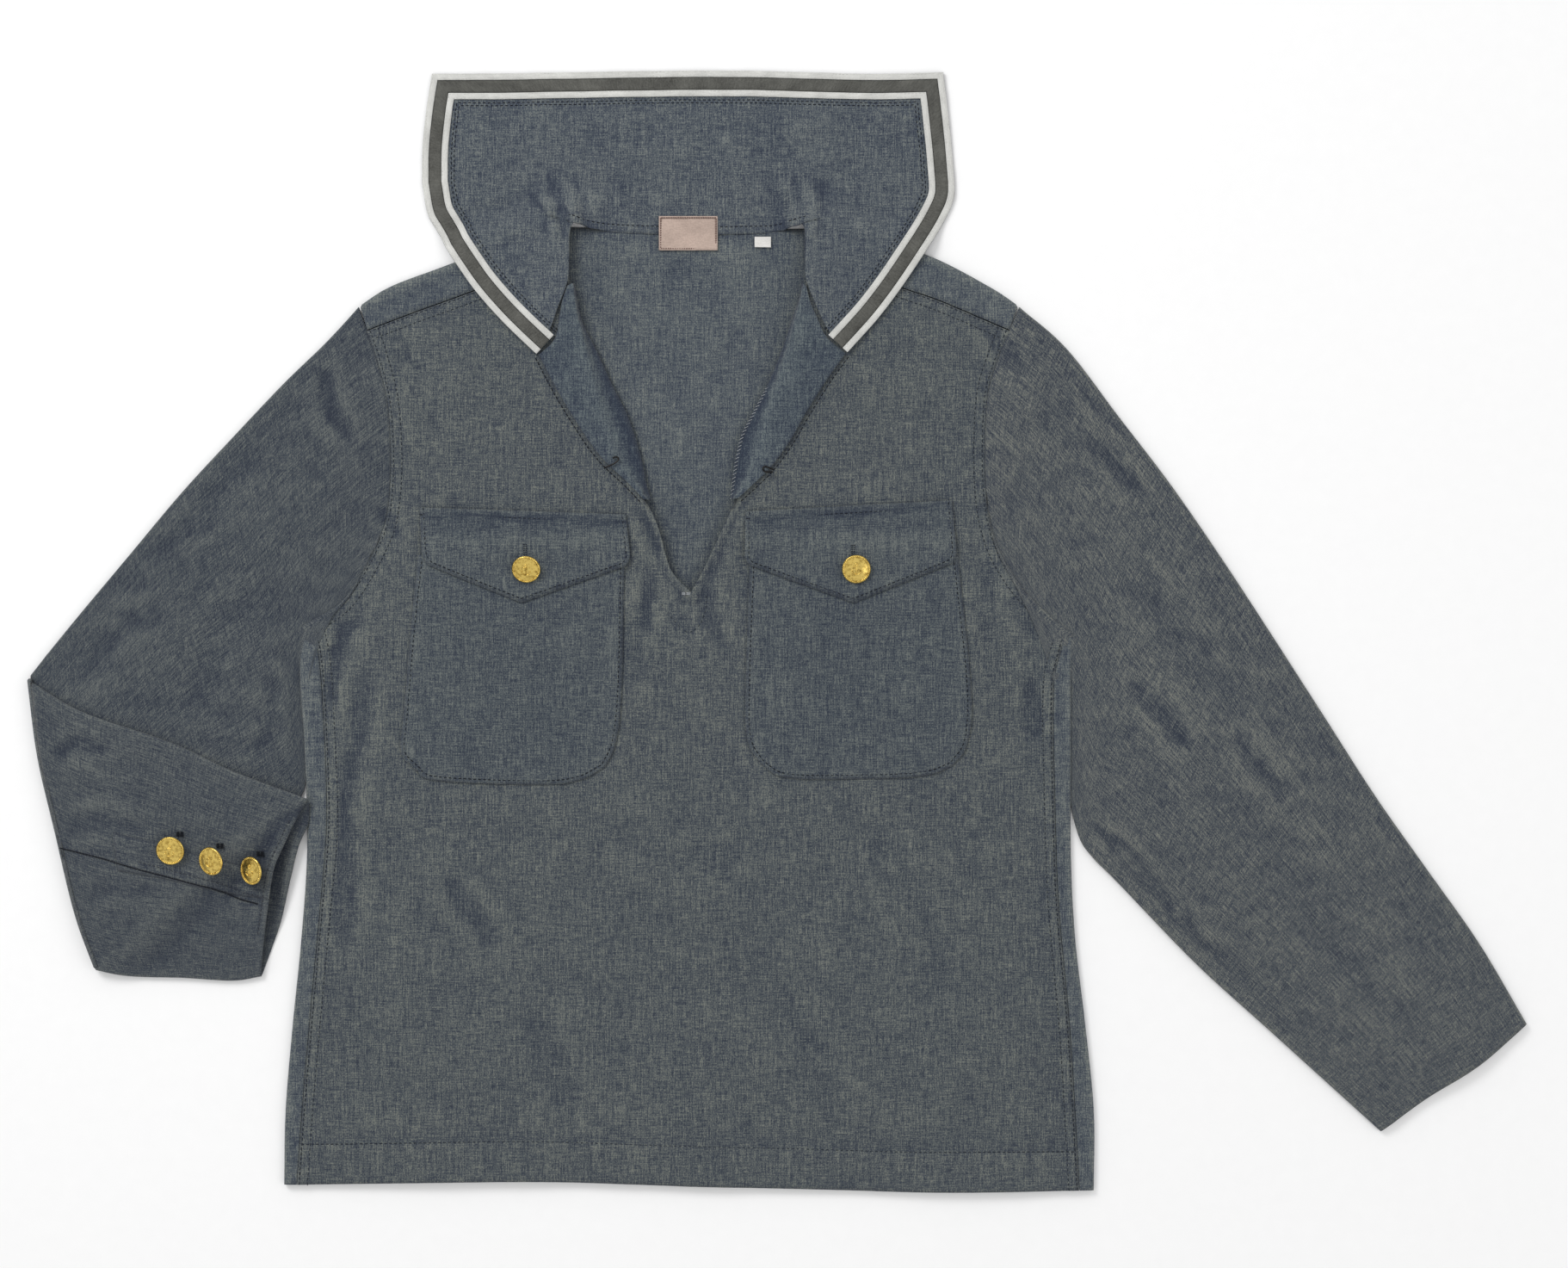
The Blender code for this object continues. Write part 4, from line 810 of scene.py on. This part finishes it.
# Buttons, with their rope rim and an anchor raised in the middle
def leaning(middle, tilt, toward):
    """Function from a button's own x y z to the jumper's: the edge at angle toward is raised."""
    tilt, toward = math.radians(tilt), math.radians(toward)
    ahead = np.array([math.cos(toward), math.sin(toward), 0])
    aside = np.array([-ahead[1], ahead[0], 0])
    up = np.array([-math.sin(tilt) * ahead[0], -math.sin(tilt) * ahead[1], math.cos(tilt)])
    lean = math.cos(tilt) * ahead + np.array([0, 0, math.sin(tilt)])

    def there(points):
        points = np.asarray(points, float)
        along, across_it = points @ np.append(ahead[:2], 0), points @ np.append(aside[:2], 0)
        return middle + along[:, None] * lean + across_it[:, None] * aside + points[:, 2:] * up
    return there


def turned(profile, sides, top):
    """Points and faces of a profile (radius, height) turned about the upright axis, closed at both ends."""
    points = [(0.0, 0.0, profile[0][1]), (0.0, 0.0, top)]
    for radius, height in profile:
        for k in range(sides):
            turn = 2 * math.pi * k / sides
            points.append((radius * math.cos(turn), radius * math.sin(turn), height))
    faces = []
    for k in range(sides):
        after = (k + 1) % sides
        last = 2 + sides * (len(profile) - 1)
        faces += [[0, 2 + after, 2 + k], [1, last + k, last + after]]
        for row in range(len(profile) - 1):
            low, high = 2 + sides * row, 2 + sides * (row + 1)
            faces.append([low + k, low + after, high + after, high + k])
    return points, faces


def tube(path, radius, sides=8):
    """Points and faces of a bent rod with closed ends, thinner at each end."""
    path = line(path)
    ahead = unit(np.gradient(path, axis=0))
    side = unit(np.cross(ahead, [0, 0, 1.0]) + 1e-9)
    up = np.cross(side, ahead)
    turns = 2 * math.pi * np.arange(sides) / sides
    sizes = np.full(len(path), radius)
    rings = [p + s * (np.cos(turns)[:, None] * a + np.sin(turns)[:, None] * b)
             for p, a, b, s in zip(path, side, up, sizes)]
    faces = [[r * sides + k, (r + 1) * sides + k, (r + 1) * sides + (k + 1) % sides, r * sides + (k + 1) % sides]
             for r in range(len(path) - 1) for k in range(sides)]
    faces += [list(range(sides)), [(len(path) - 1) * sides + k for k in range(sides)][::-1]]
    return np.vstack(rings), faces


def joined(parts):
    points, faces = [], []
    for more_points, more_faces in parts:
        faces += [[len(points) + corner for corner in face] for face in more_faces]
        points += list(map(tuple, more_points))
    return points, faces


def anchor_parts():
    """A plain anchor on the button's dome: ring, stock, shank and arms with flukes."""
    def on_dome(x, y):
        return (x, y, BUTTON_DOME - 0.02 * (x * x + y * y) + 0.05)

    circle = [on_dome(0.75 * math.cos(t), 3.6 + 0.75 * math.sin(t)) for t in np.linspace(0, 2 * math.pi, 13)]
    arms = [on_dome(3.1 * math.cos(t), -0.9 + 2.7 * math.sin(t)) for t in np.radians(np.linspace(190, 350, 11))]
    return [
        tube(circle, 0.28), tube([on_dome(0, y) for y in (2.9, 1.5, 0, -1.6, -3.6)], 0.42),
        tube([on_dome(x, 2.0) for x in (-1.9, -0.9, 0, 0.9, 1.9)], 0.36), tube(arms, 0.42),
        tube([on_dome(-3.1, -1.3), on_dome(-3.0, -0.3), on_dome(-2.3, -1.0)], 0.34),
        tube([on_dome(3.1, -1.3), on_dome(3.0, -0.3), on_dome(2.3, -1.0)], 0.34),
    ]


def rope_rim(radius, height, strands=44):
    """Short slanted beads round the rim."""
    parts = []
    for k in range(strands):
        turn = 2 * math.pi * k / strands
        ends = [(radius + 0.45) * np.array([math.cos(turn + 0.05), math.sin(turn + 0.05)]),
                (radius - 0.45) * np.array([math.cos(turn - 0.05), math.sin(turn - 0.05)])]
        middle = (ends[0] + ends[1]) / 2
        parts.append(tube([(*ends[0], height - 0.25), (*middle, height), (*ends[1], height - 0.15)], 0.5, 6))
    return parts


def button(node, look, x, y, tilt, toward):
    """Fills the box of its solid, which sets its height above the cloth."""
    low, high = (np.array(corner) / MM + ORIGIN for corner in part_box(node))
    lean = math.radians(tilt)
    rise = BUTTON_RADIUS * math.sin(lean)
    centre = high[2] - max(rise + 1.7 * math.cos(lean), BUTTON_DOME * math.cos(lean))
    foot = (centre - low[2]) / math.cos(lean)
    shank = turned([(1.2, -foot + 0.6), (1.5, -foot + 1.1), (1.5, 0.0)], 16, 0.3)
    shell = turned([(1.5, 0.05), (8.8, 0.0), (9.7, 0.25), (10.0, 0.8), (9.8, 1.35), (9.3, 1.65), (8.7, 1.6),
                    (8.3, 1.35), (7.6, 1.55), (6.0, 2.1), (4.0, 2.65), (2.0, 2.93)], 64, BUTTON_DOME)
    points, faces = joined([shank, shell, *rope_rim(9.05, 1.55), *anchor_parts()])
    made = mesh_object(node + "_shown", leaning(np.array([x, y, centre]), tilt, toward)(points), faces, look)
    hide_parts(node)


# Stitching
def stitches(name, look, lines, height, pitch=3.4, length=2.6, width=0.8, rise=0.32):
    """Every stitch of the lines as a small raised lozenge that follows the cloth."""
    points, faces = [], []
    draw = np.random.default_rng(len(name))
    for table in lines:
        run = np.linalg.norm(np.diff(line(table)[:, :2], axis=0), axis=1).sum()
        count = max(2, int(run / pitch))
        spots = curve(table, count * 4)
        starts, ends = spots[0:-4:4], spots[3::4]
        for a, b in zip(starts, ends):
            middle, ahead = (a + b) / 2, unit(b - a)
            ahead = ahead + draw.uniform(-0.06, 0.06, 2)
            aside = np.array([-ahead[1], ahead[0]]) * width / 2
            half = ahead * length / 2
            flat = np.array([middle - half, middle - 0.6 * half + aside, middle + 0.6 * half + aside, middle + half,
                             middle + 0.6 * half - aside, middle - 0.6 * half - aside, middle - 0.5 * half,
                             middle + 0.5 * half])
            z = height(flat[:, 0], flat[:, 1]) + np.array([-0.15, -0.05, -0.05, -0.15, -0.05, -0.05, rise, rise])
            base = len(points)
            points += [tuple(p) for p in np.column_stack([flat, z])]
            faces += [[base + k for k in face] for face in
                      ((6, 1, 0), (6, 0, 5), (7, 3, 2), (7, 4, 3), (6, 7, 2, 1), (6, 5, 4, 7), (0, 1, 2, 3, 4, 5))]
    made = mesh_object(name, points, faces, look)
    return made


def beside(table, away, start=0.0, end=1.0):
    """The line moved to its left by this much, between two shares of its length."""
    points = curve(table, 40)
    points = points[round(40 * start): round(40 * end) + 1]
    return inset(points, away)


def body_stitching(look):
    hem = [(x, y + HEM_DEPTH) for x, y in [(-272, 1), *HEM_RIGHT[1:], *HEM_LEFT[1:-1], (268, -4)]]
    lines = [hem]
    for side, seam, armhole, shoulder, _, _ in HALVES:
        lines += [beside(seam, side * away, 0.005) for away in (1.8, 7.6)]
        lines += [beside(armhole, side * away, 0.02) for away in (1.8, 7.6)]
        lines += [beside(shoulder, side * away, 0.02) for away in (1.8, 7.6)]
    lines.append(FRONT_POINT)
    stitches("body_stitching", look, lines, body_top)


def edge_lines(edges, away):
    """A stitched line inside the left, lower and right edges."""
    low = curve(edges["low"], 40)
    if "point" in edges:
        low = chain(curve(edges["low"][:edges["point"] + 1], 20), curve(edges["low"][edges["point"]:], 20))
    outline = chain(curve(edges["left"], 30)[::-1], low, curve(edges["right"], 30))
    return inset(outline, away)


def trim_stitching(look):
    for side in ("right", "left"):
        pocket, flap = POCKETS[side], FLAPS[side]
        below_flap = dict(pocket, left=pocket["left"][:-1] + [(pocket["left"][-1][0], 436)],
                          right=pocket["right"][:-1] + [(pocket["right"][-1][0], 436)])
        stitches("pocket_stitching_" + side, look, [edge_lines(below_flap, EDGE_STITCH)], pocket_height(pocket))
        top = beside(flap["high"], -5)
        stitches("flap_stitching_" + side, look, [edge_lines(flap, EDGE_STITCH), top], flap_height(flap))
    for side, out, lift in (("right", FACING_OUT_RIGHT, -1), ("left", FACING_OUT_LEFT, 1)):
        stitches("facing_stitching_" + side, look, [beside(out, -lift * EDGE_STITCH)],
                 lambda x, y: on_front(x, y) + 0.3 + 0.22 * waves(x, y, 24, 91))
    lines = [border_line(by) for by in (TAPE_LINES[-1] + 2.2, TAPE_LINES[-1] + 4.2)]
    lines.append([(x, y + 6) for x, y in BACK_NECK])
    stitches("collar_stitching", look, lines, collar_top)


def tape_stitching(look):
    lines = [border_line(by) for by in (0.9, 3.9, 14.3, 17.3)]
    stitches("tape_stitching", look, lines, lambda x, y: collar_top(x, y) + SEAM_GAP + TRIM_WALL - 0.25, 2.6, 1.9, 0.4,
             0.16)


def neck_details(white, label_look):
    """The tack under the V, the overlocked edge of the left facing and the label's stitched border."""
    bar_tack("neck_tack", white, BAR_TACK, (7, 1.4), lambda x, y: body_top(x, y) + 0.3, 4)
    (x, y), (wide, tall) = LABEL_MIDDLE, (38.5, 21.5)
    corners = [(x - wide / 2, y - tall / 2), (x + wide / 2, y - tall / 2), (x + wide / 2, y + tall / 2),
               (x - wide / 2, y + tall / 2), (x - wide / 2, y - tall / 2)]
    sides = [[a, b] for a, b in zip(corners, corners[1:])]
    stitches("label_border", label_look, sides, lambda a, b: 0 * a + WALL + SEAM_GAP + 1.15, 1.6, 1.5, 1.0, 0.2)
    edge = curve(FACING_IN_LEFT[:6], 60)
    zigzag = [[tuple(a), tuple(b)] for a, b in zip(edge[:-1], edge[1:] + [2.2, 0])]
    stitches("facing_overlock", white, zigzag[::2], lambda a, b: 0 * a + 5.9, 1.2, 1.9, 0.6)


def bar_tack(name, look, middle, size, height, count=9):
    """A short dense band of stitches, as at a buttonhole or the point of the neck."""
    (x, y), (wide, tall) = middle, size
    lines = [[(x - wide / 2, y + tall * (share - 0.5)), (x + wide / 2, y + tall * (share - 0.5))]
             for share in np.linspace(0, 1, count)]
    return stitches(name, look, lines, height, wide / 2.2, wide / 2.0, 0.6)


def cuff_fittings(forearm, look, dark):
    """The vent's strip, its stitching, a dark line of painted shade along the vent's edge and the buttonholes, laid on
    the forearm's top.
    """
    rows, columns = len(forearm) - 1, ACROSS_CELLS
    first_row, across_low, across_high = round(rows * 0.3), round(columns * 0.5), round(columns * 0.625)
    strip = forearm[first_row:, across_low:across_high + 1] + [0, 0, SEAM_GAP + TRIM_WALL - 0.3]
    strip = strip.copy()
    strip[:, [0, -1], 2] -= 0.5
    cloth("cuff_vent_right", look, [strip], laid_out, 0.6, outside_down=True)
    top = forearm.copy()
    top[first_row:, across_low:across_high + 1] = strip
    flat_top = top.reshape(-1, 3)

    def height(x, y):
        spots = np.stack([np.atleast_1d(x), np.atleast_1d(y)], -1)
        gap = ((flat_top[None, :, :2] - spots[:, None]) ** 2).sum(-1)
        nearest = np.argsort(gap, axis=1)[:, :4]
        weight = 1 / (np.take_along_axis(gap, nearest, 1) + 0.05)
        return (flat_top[nearest, 2] * weight).sum(1) / weight.sum(1) + 0.35

    mouth = [(x - 4, y + 0.5) for x, y in CUFF_MOUTH_TOP[1:-1]]
    stitches("cuff_stitching", look, [[(x + 1, y + 5) for x, y in VENT_LINE[2:]], mouth],
             lambda x, y: height(x, y) + 0.1, 3.2, 2.3, 0.5)
    # Overlapping dark stitches along the vent make one dark line: painted shade of the vent's edge
    stitches("vent_edge", dark, [VENT_LINE], lambda x, y: height(x, y) + 0.3, 2.3, 2.6, 0.9)
    for number, spot in enumerate(CUFF_HOLES):
        bar_tack(f"cuff_buttonhole_{number + 1}", dark, spot, (5.5, 3), lambda x, y: height(x, y) + 1.0, 6)


# Materials
def shader_of(name, colour, roughness, metallic=0.0):
    made = bpy.data.materials.new(name)
    made.use_nodes = True
    shader = made.node_tree.nodes["Principled BSDF"]
    shader.inputs["Base Color"].default_value = (*colour, 1)
    shader.inputs["Roughness"].default_value = roughness
    shader.inputs["Metallic"].default_value = metallic
    return made, made.node_tree, shader


def linear(red, green, blue):
    return [((c / 255 + 0.055) / 1.055) ** 2.4 for c in (red, green, blue)]


def noise(tree, scale, detail=2.0, source="UV", roughness=0.55):
    """Noise with its own scale across and along the pattern, per metre."""
    place_node = tree.nodes.new("ShaderNodeTexCoord")
    mapping = tree.nodes.new("ShaderNodeMapping")
    mapping.inputs["Scale"].default_value = scale
    tree.links.new(place_node.outputs[source], mapping.inputs["Vector"])
    made = tree.nodes.new("ShaderNodeTexNoise")
    made.inputs["Scale"].default_value = 1.0
    made.inputs["Detail"].default_value = detail
    made.inputs["Roughness"].default_value = roughness
    tree.links.new(mapping.outputs["Vector"], made.inputs["Vector"])
    return made.outputs["Fac"]


def math_node(tree, operation, *values):
    made = tree.nodes.new("ShaderNodeMath")
    made.operation = operation
    for socket, value in zip(made.inputs, values):
        if isinstance(value, (int, float)):
            socket.default_value = value
        else:
            tree.links.new(value, socket)
    return made.outputs["Value"]


def weighted(tree, parts, middle=0.5):
    """middle + the sum of weight x (part - 0.5)."""
    total = None
    for part, weight in parts:
        term = math_node(tree, "MULTIPLY_ADD", part, weight, -0.5 * weight)
        total = term if total is None else math_node(tree, "ADD", total, term)
    return math_node(tree, "ADD", total, middle)


def ramp(tree, factor, stops):
    made = tree.nodes.new("ShaderNodeValToRGB")
    elements = made.color_ramp.elements
    while len(elements) < len(stops):
        elements.new(0.5)
    for element, (position, colour) in zip(elements, stops):
        element.position, element.color = position, (*colour, 1)
    tree.links.new(factor, made.inputs["Fac"])
    return made.outputs["Color"]


def bump(tree, shader, height, strength, depth):
    made = tree.nodes.new("ShaderNodeBump")
    made.inputs["Strength"].default_value = strength
    made.inputs["Distance"].default_value = depth
    tree.links.new(height, made.inputs["Height"])
    tree.links.new(made.outputs["Normal"], shader.inputs["Normal"])


def attribute(tree, name):
    made = tree.nodes.new("ShaderNodeAttribute")
    made.attribute_name = name
    return made.outputs["Fac"]


def chambray(name, middle, contrast=1.0):
    """Blue-grey cotton: fine lines across, slubs along, wash marks, a painted highlight on ridges and painted shade,
    bluer, in hollows.
    """
    made, tree, shader = shader_of(name, linear(*middle), 0.9)
    lines_across = noise(tree, (70, 1500, 1), 2)
    slubs_along = noise(tree, (900, 28, 1), 3)
    fine_slubs = noise(tree, (1700, 120, 1), 2)
    mottle = noise(tree, (260, 300, 1), 4, roughness=0.7)
    wash = noise(tree, (24, 9, 1), 3)
    # Painted shade in hollows and painted highlight on ridges, from how far the cloth stands out round each point
    painted_fold_shading = attribute(tree, "painted_fold_shading")
    specks = noise(tree, (1300, 900, 1), 1)
    shade = weighted(tree, [(lines_across, 1.25 * contrast), (slubs_along, 1.0 * contrast),
                            (fine_slubs, 1.5 * contrast), (specks, 1.7 * contrast), (mottle, 0.9 * contrast),
                            (wash, 0.22 * contrast), (painted_fold_shading, 1.05)])
    red, green, blue = middle
    # The bluer dark end of the ramp is reached mostly through the painted shade in hollows
    stops = [(0.0, linear(red * 0.55, green * 0.6, blue * 0.72)), (0.32, linear(red * 0.83, green * 0.85, blue * 0.9)),
             (0.5, linear(red, green, blue)), (0.68, linear(red * 1.15, green * 1.13, blue * 1.08)),
             (1.0, linear(red * 1.5, green * 1.43, blue * 1.3))]
    tree.links.new(ramp(tree, shade, stops), shader.inputs["Base Color"])
    weave = weighted(tree, [(lines_across, 0.5), (slubs_along, 0.5), (mottle, 0.5), (fine_slubs, 0.4)])
    bump(tree, shader, weave, 0.55, 0.0006)
    shader.inputs["Specular IOR Level"].default_value = 0.15
    shader.inputs["Sheen Weight"].default_value = 0.15
    shader.inputs["Sheen Roughness"].default_value = 0.6
    return made


def woven(name, middle, contrast, scale, depth=0.0004, roughness=0.85):
    made, tree, shader = shader_of(name, linear(*middle), roughness)
    rib = noise(tree, scale, 2)
    grain = noise(tree, (900, 900, 1), 3)
    wear = noise(tree, (60, 60, 1), 4)
    shade = weighted(tree, [(rib, 0.6 * contrast), (grain, 0.6 * contrast), (wear, 0.8 * contrast)])
    low, high = [c * 0.7 for c in middle], [min(255, c * 1.22) for c in middle]
    tree.links.new(ramp(tree, shade, [(0.1, linear(*low)), (0.5, linear(*middle)), (0.9, linear(*high))]),
                   shader.inputs["Base Color"])
    bump(tree, shader, weighted(tree, [(rib, 0.6), (grain, 0.5)]), 0.6, depth)
    shader.inputs["Specular IOR Level"].default_value = 0.2
    return made


def metal(name, middle, dark, roughness):
    made, tree, shader = shader_of(name, linear(*middle), roughness, 1.0)
    tarnish = noise(tree, (420, 420, 420), 5, "Object", 0.65)
    tree.links.new(ramp(tree, tarnish, [(0.32, linear(*dark)), (0.55, linear(*middle))]), shader.inputs["Base Color"])
    rough = math_node(tree, "MULTIPLY_ADD", tarnish, -0.25, roughness + 0.14)
    tree.links.new(rough, shader.inputs["Roughness"])
    bump(tree, shader, tarnish, 0.3, 0.0002)
    return made


# Stage
def light(name, place_at, size, energy, colour=(1, 1, 1)):
    data = bpy.data.lights.new(name, "AREA")
    data.shape, data.size, data.energy, data.color = "DISK", size, energy, colour
    made = bpy.data.objects.new(name, data)
    made.location = place_at
    aim = -np.array(place_at)
    made.rotation_euler = (math.atan2(math.hypot(aim[0], aim[1]), -aim[2]), 0, math.atan2(aim[1], aim[0]) - math.pi / 2)
    bpy.context.scene.collection.objects.link(made)


def stage():
    mesh = bpy.data.meshes.new("floor")
    mesh.from_pydata([(-4, -4, -0.0006), (4, -4, -0.0006), (4, 4, -0.0006), (-4, 4, -0.0006)], [], [(0, 1, 2, 3)])
    white, tree, shader = shader_of("floor_white", (0.93, 0.93, 0.93), 0.9)
    paper = noise(tree, (90, 90, 90), 4, "Object")
    tree.links.new(ramp(tree, paper, [(0.0, (0.92, 0.92, 0.92)), (1.0, (0.95, 0.95, 0.95))]), shader.inputs["Base Color"])
    mesh.materials.append(white)
    floor = bpy.data.objects.new("floor", mesh)
    bpy.context.scene.collection.objects.link(floor)
    world = bpy.data.worlds.new("studio")
    world.use_nodes = True
    world.node_tree.nodes["Background"].inputs["Color"].default_value = (1, 1, 1, 1)
    world.node_tree.nodes["Background"].inputs["Strength"].default_value = WORLD_LIGHT
    bpy.context.scene.world = world
    light("key", (-1.3, 1.5, 1.7), 1.1, KEY_LIGHT)
    light("fill", (1.8, -0.6, 1.6), 1.6, FILL_LIGHT)
    bpy.context.scene.view_settings.view_transform = "Standard"


def camera():
    """Straight above the photograph's middle; its picture is 1822 x 1473 pixels at 0.6 mm each."""
    data = bpy.data.cameras.new("camera")
    data.lens, data.sensor_width = 60, 36
    made = bpy.data.objects.new("camera", data)
    made.location = (PHOTO_MIDDLE[0] * MM - ORIGIN[0] * MM, (PHOTO_MIDDLE[1] - ORIGIN[1]) * MM, CAMERA_HEIGHT)
    bpy.context.scene.collection.objects.link(made)
    bpy.context.scene.camera = made


def main():
    body = chambray("chambray_body", (75, 81, 85))
    back = chambray("chambray_back", (77, 84, 90), 0.9)
    pocket = chambray("chambray_pocket", (70, 77, 83))
    # The facings get a darker, bluer copy of the chambray: painted shade, matched to their shaded inner slope down into
    # the V
    shaded_facing_cloth = chambray("chambray_facing_shaded", (66, 75, 84))
    collar_cloth = chambray("chambray_collar", (75, 82, 89))
    sleeve_r = chambray("chambray_sleeve_right", (66, 72, 78))
    sleeve_l = chambray("chambray_sleeve_left", (76, 81, 85))
    thread = woven("thread", (40, 45, 53), 1.0, (400, 400, 1))
    # Dark thread for stitching and buttonholes; on the cuff vent it also draws a line of painted shade
    dark_thread_and_shade = woven("dark_thread_and_shade", (26, 29, 36), 0.6, (400, 400, 1))
    tape = woven("white_tape", (198, 198, 194), 0.5, (120, 1400, 1))
    band = woven("grey_band", (84, 84, 80), 1.3, (1300, 200, 1))
    white_thread = woven("white_thread", (206, 206, 202), 0.3, (400, 400, 1))
    pale_thread = woven("pale_thread", (150, 154, 157), 0.5, (400, 400, 1))
    label = woven("label_cloth", (176, 157, 146), 0.6, (200, 1800, 1))
    tag = woven("tag_cloth", (214, 212, 208), 0.4, (200, 1500, 1))
    label_edge = woven("label_edge", (120, 98, 92), 0.6, (900, 900, 1))
    brass = metal("brass", (232, 202, 112), (146, 116, 48), 0.27)
    black = metal("black_metal", (52, 50, 50), (24, 23, 23), 0.38)

    front_panel(body)
    back_panel(back)
    sleeve_left(sleeve_l)
    forearm = sleeve_right(sleeve_r)
    collar(collar_cloth, tape, band)
    facing("neck_facing_right", shaded_facing_cloth, FACING_OUT_RIGHT, FACING_SEAM_RIGHT, FACING_IN_RIGHT, CREST_RIGHT, -1)
    facing("neck_facing_left", shaded_facing_cloth, FACING_OUT_LEFT, FACING_SEAM_LEFT, FACING_IN_LEFT, CREST_LEFT, 1)
    for side in ("right", "left"):
        sewn_on("pocket_" + side, pocket, POCKETS[side], pocket_height(POCKETS[side]))
        sewn_on("pocket_flap_" + side, pocket, FLAPS[side], flap_height(FLAPS[side]), 0.8)
        x, y = POCKET_HOLES[side]
        bar_tack("flap_buttonhole_" + side, dark_thread_and_shade, (x, y), (3.2, 11), flap_height(FLAPS[side]), 9)
    box_sheet("neck_label", label, LABEL_MIDDLE, (41, 24), WALL + SEAM_GAP + 0.6)
    box_sheet("size_tag", tag, (50, 658.4), (11.4, 7.4), WALL + SEAM_GAP + 0.6)
    cuff_fittings(forearm, sleeve_r, dark_thread_and_shade)
    for name, x, y, tilt, toward in POCKET_BUTTONS:
        button(name, brass, x, y, tilt, toward)
    for name, x, y, tilt, toward, _ in CUFF_BUTTONS:
        button(name, brass, x, y, tilt, toward)
    for name, table in (("neck_hook", HOOK), ("neck_eye", EYE)):
        low, high = (np.array(corner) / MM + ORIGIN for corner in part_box(name))
        path = curve([(x, y, (low[2] + high[2]) / 2) for x, y in table], 40)
        wire = mesh_object(name + "_shown", *tube(path, 0.55, 10), black)
        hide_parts(name)
    body_stitching(thread)
    trim_stitching(dark_thread_and_shade)
    tape_stitching(white_thread)
    neck_details(pale_thread, label_edge)
    stage()
    camera()


main()
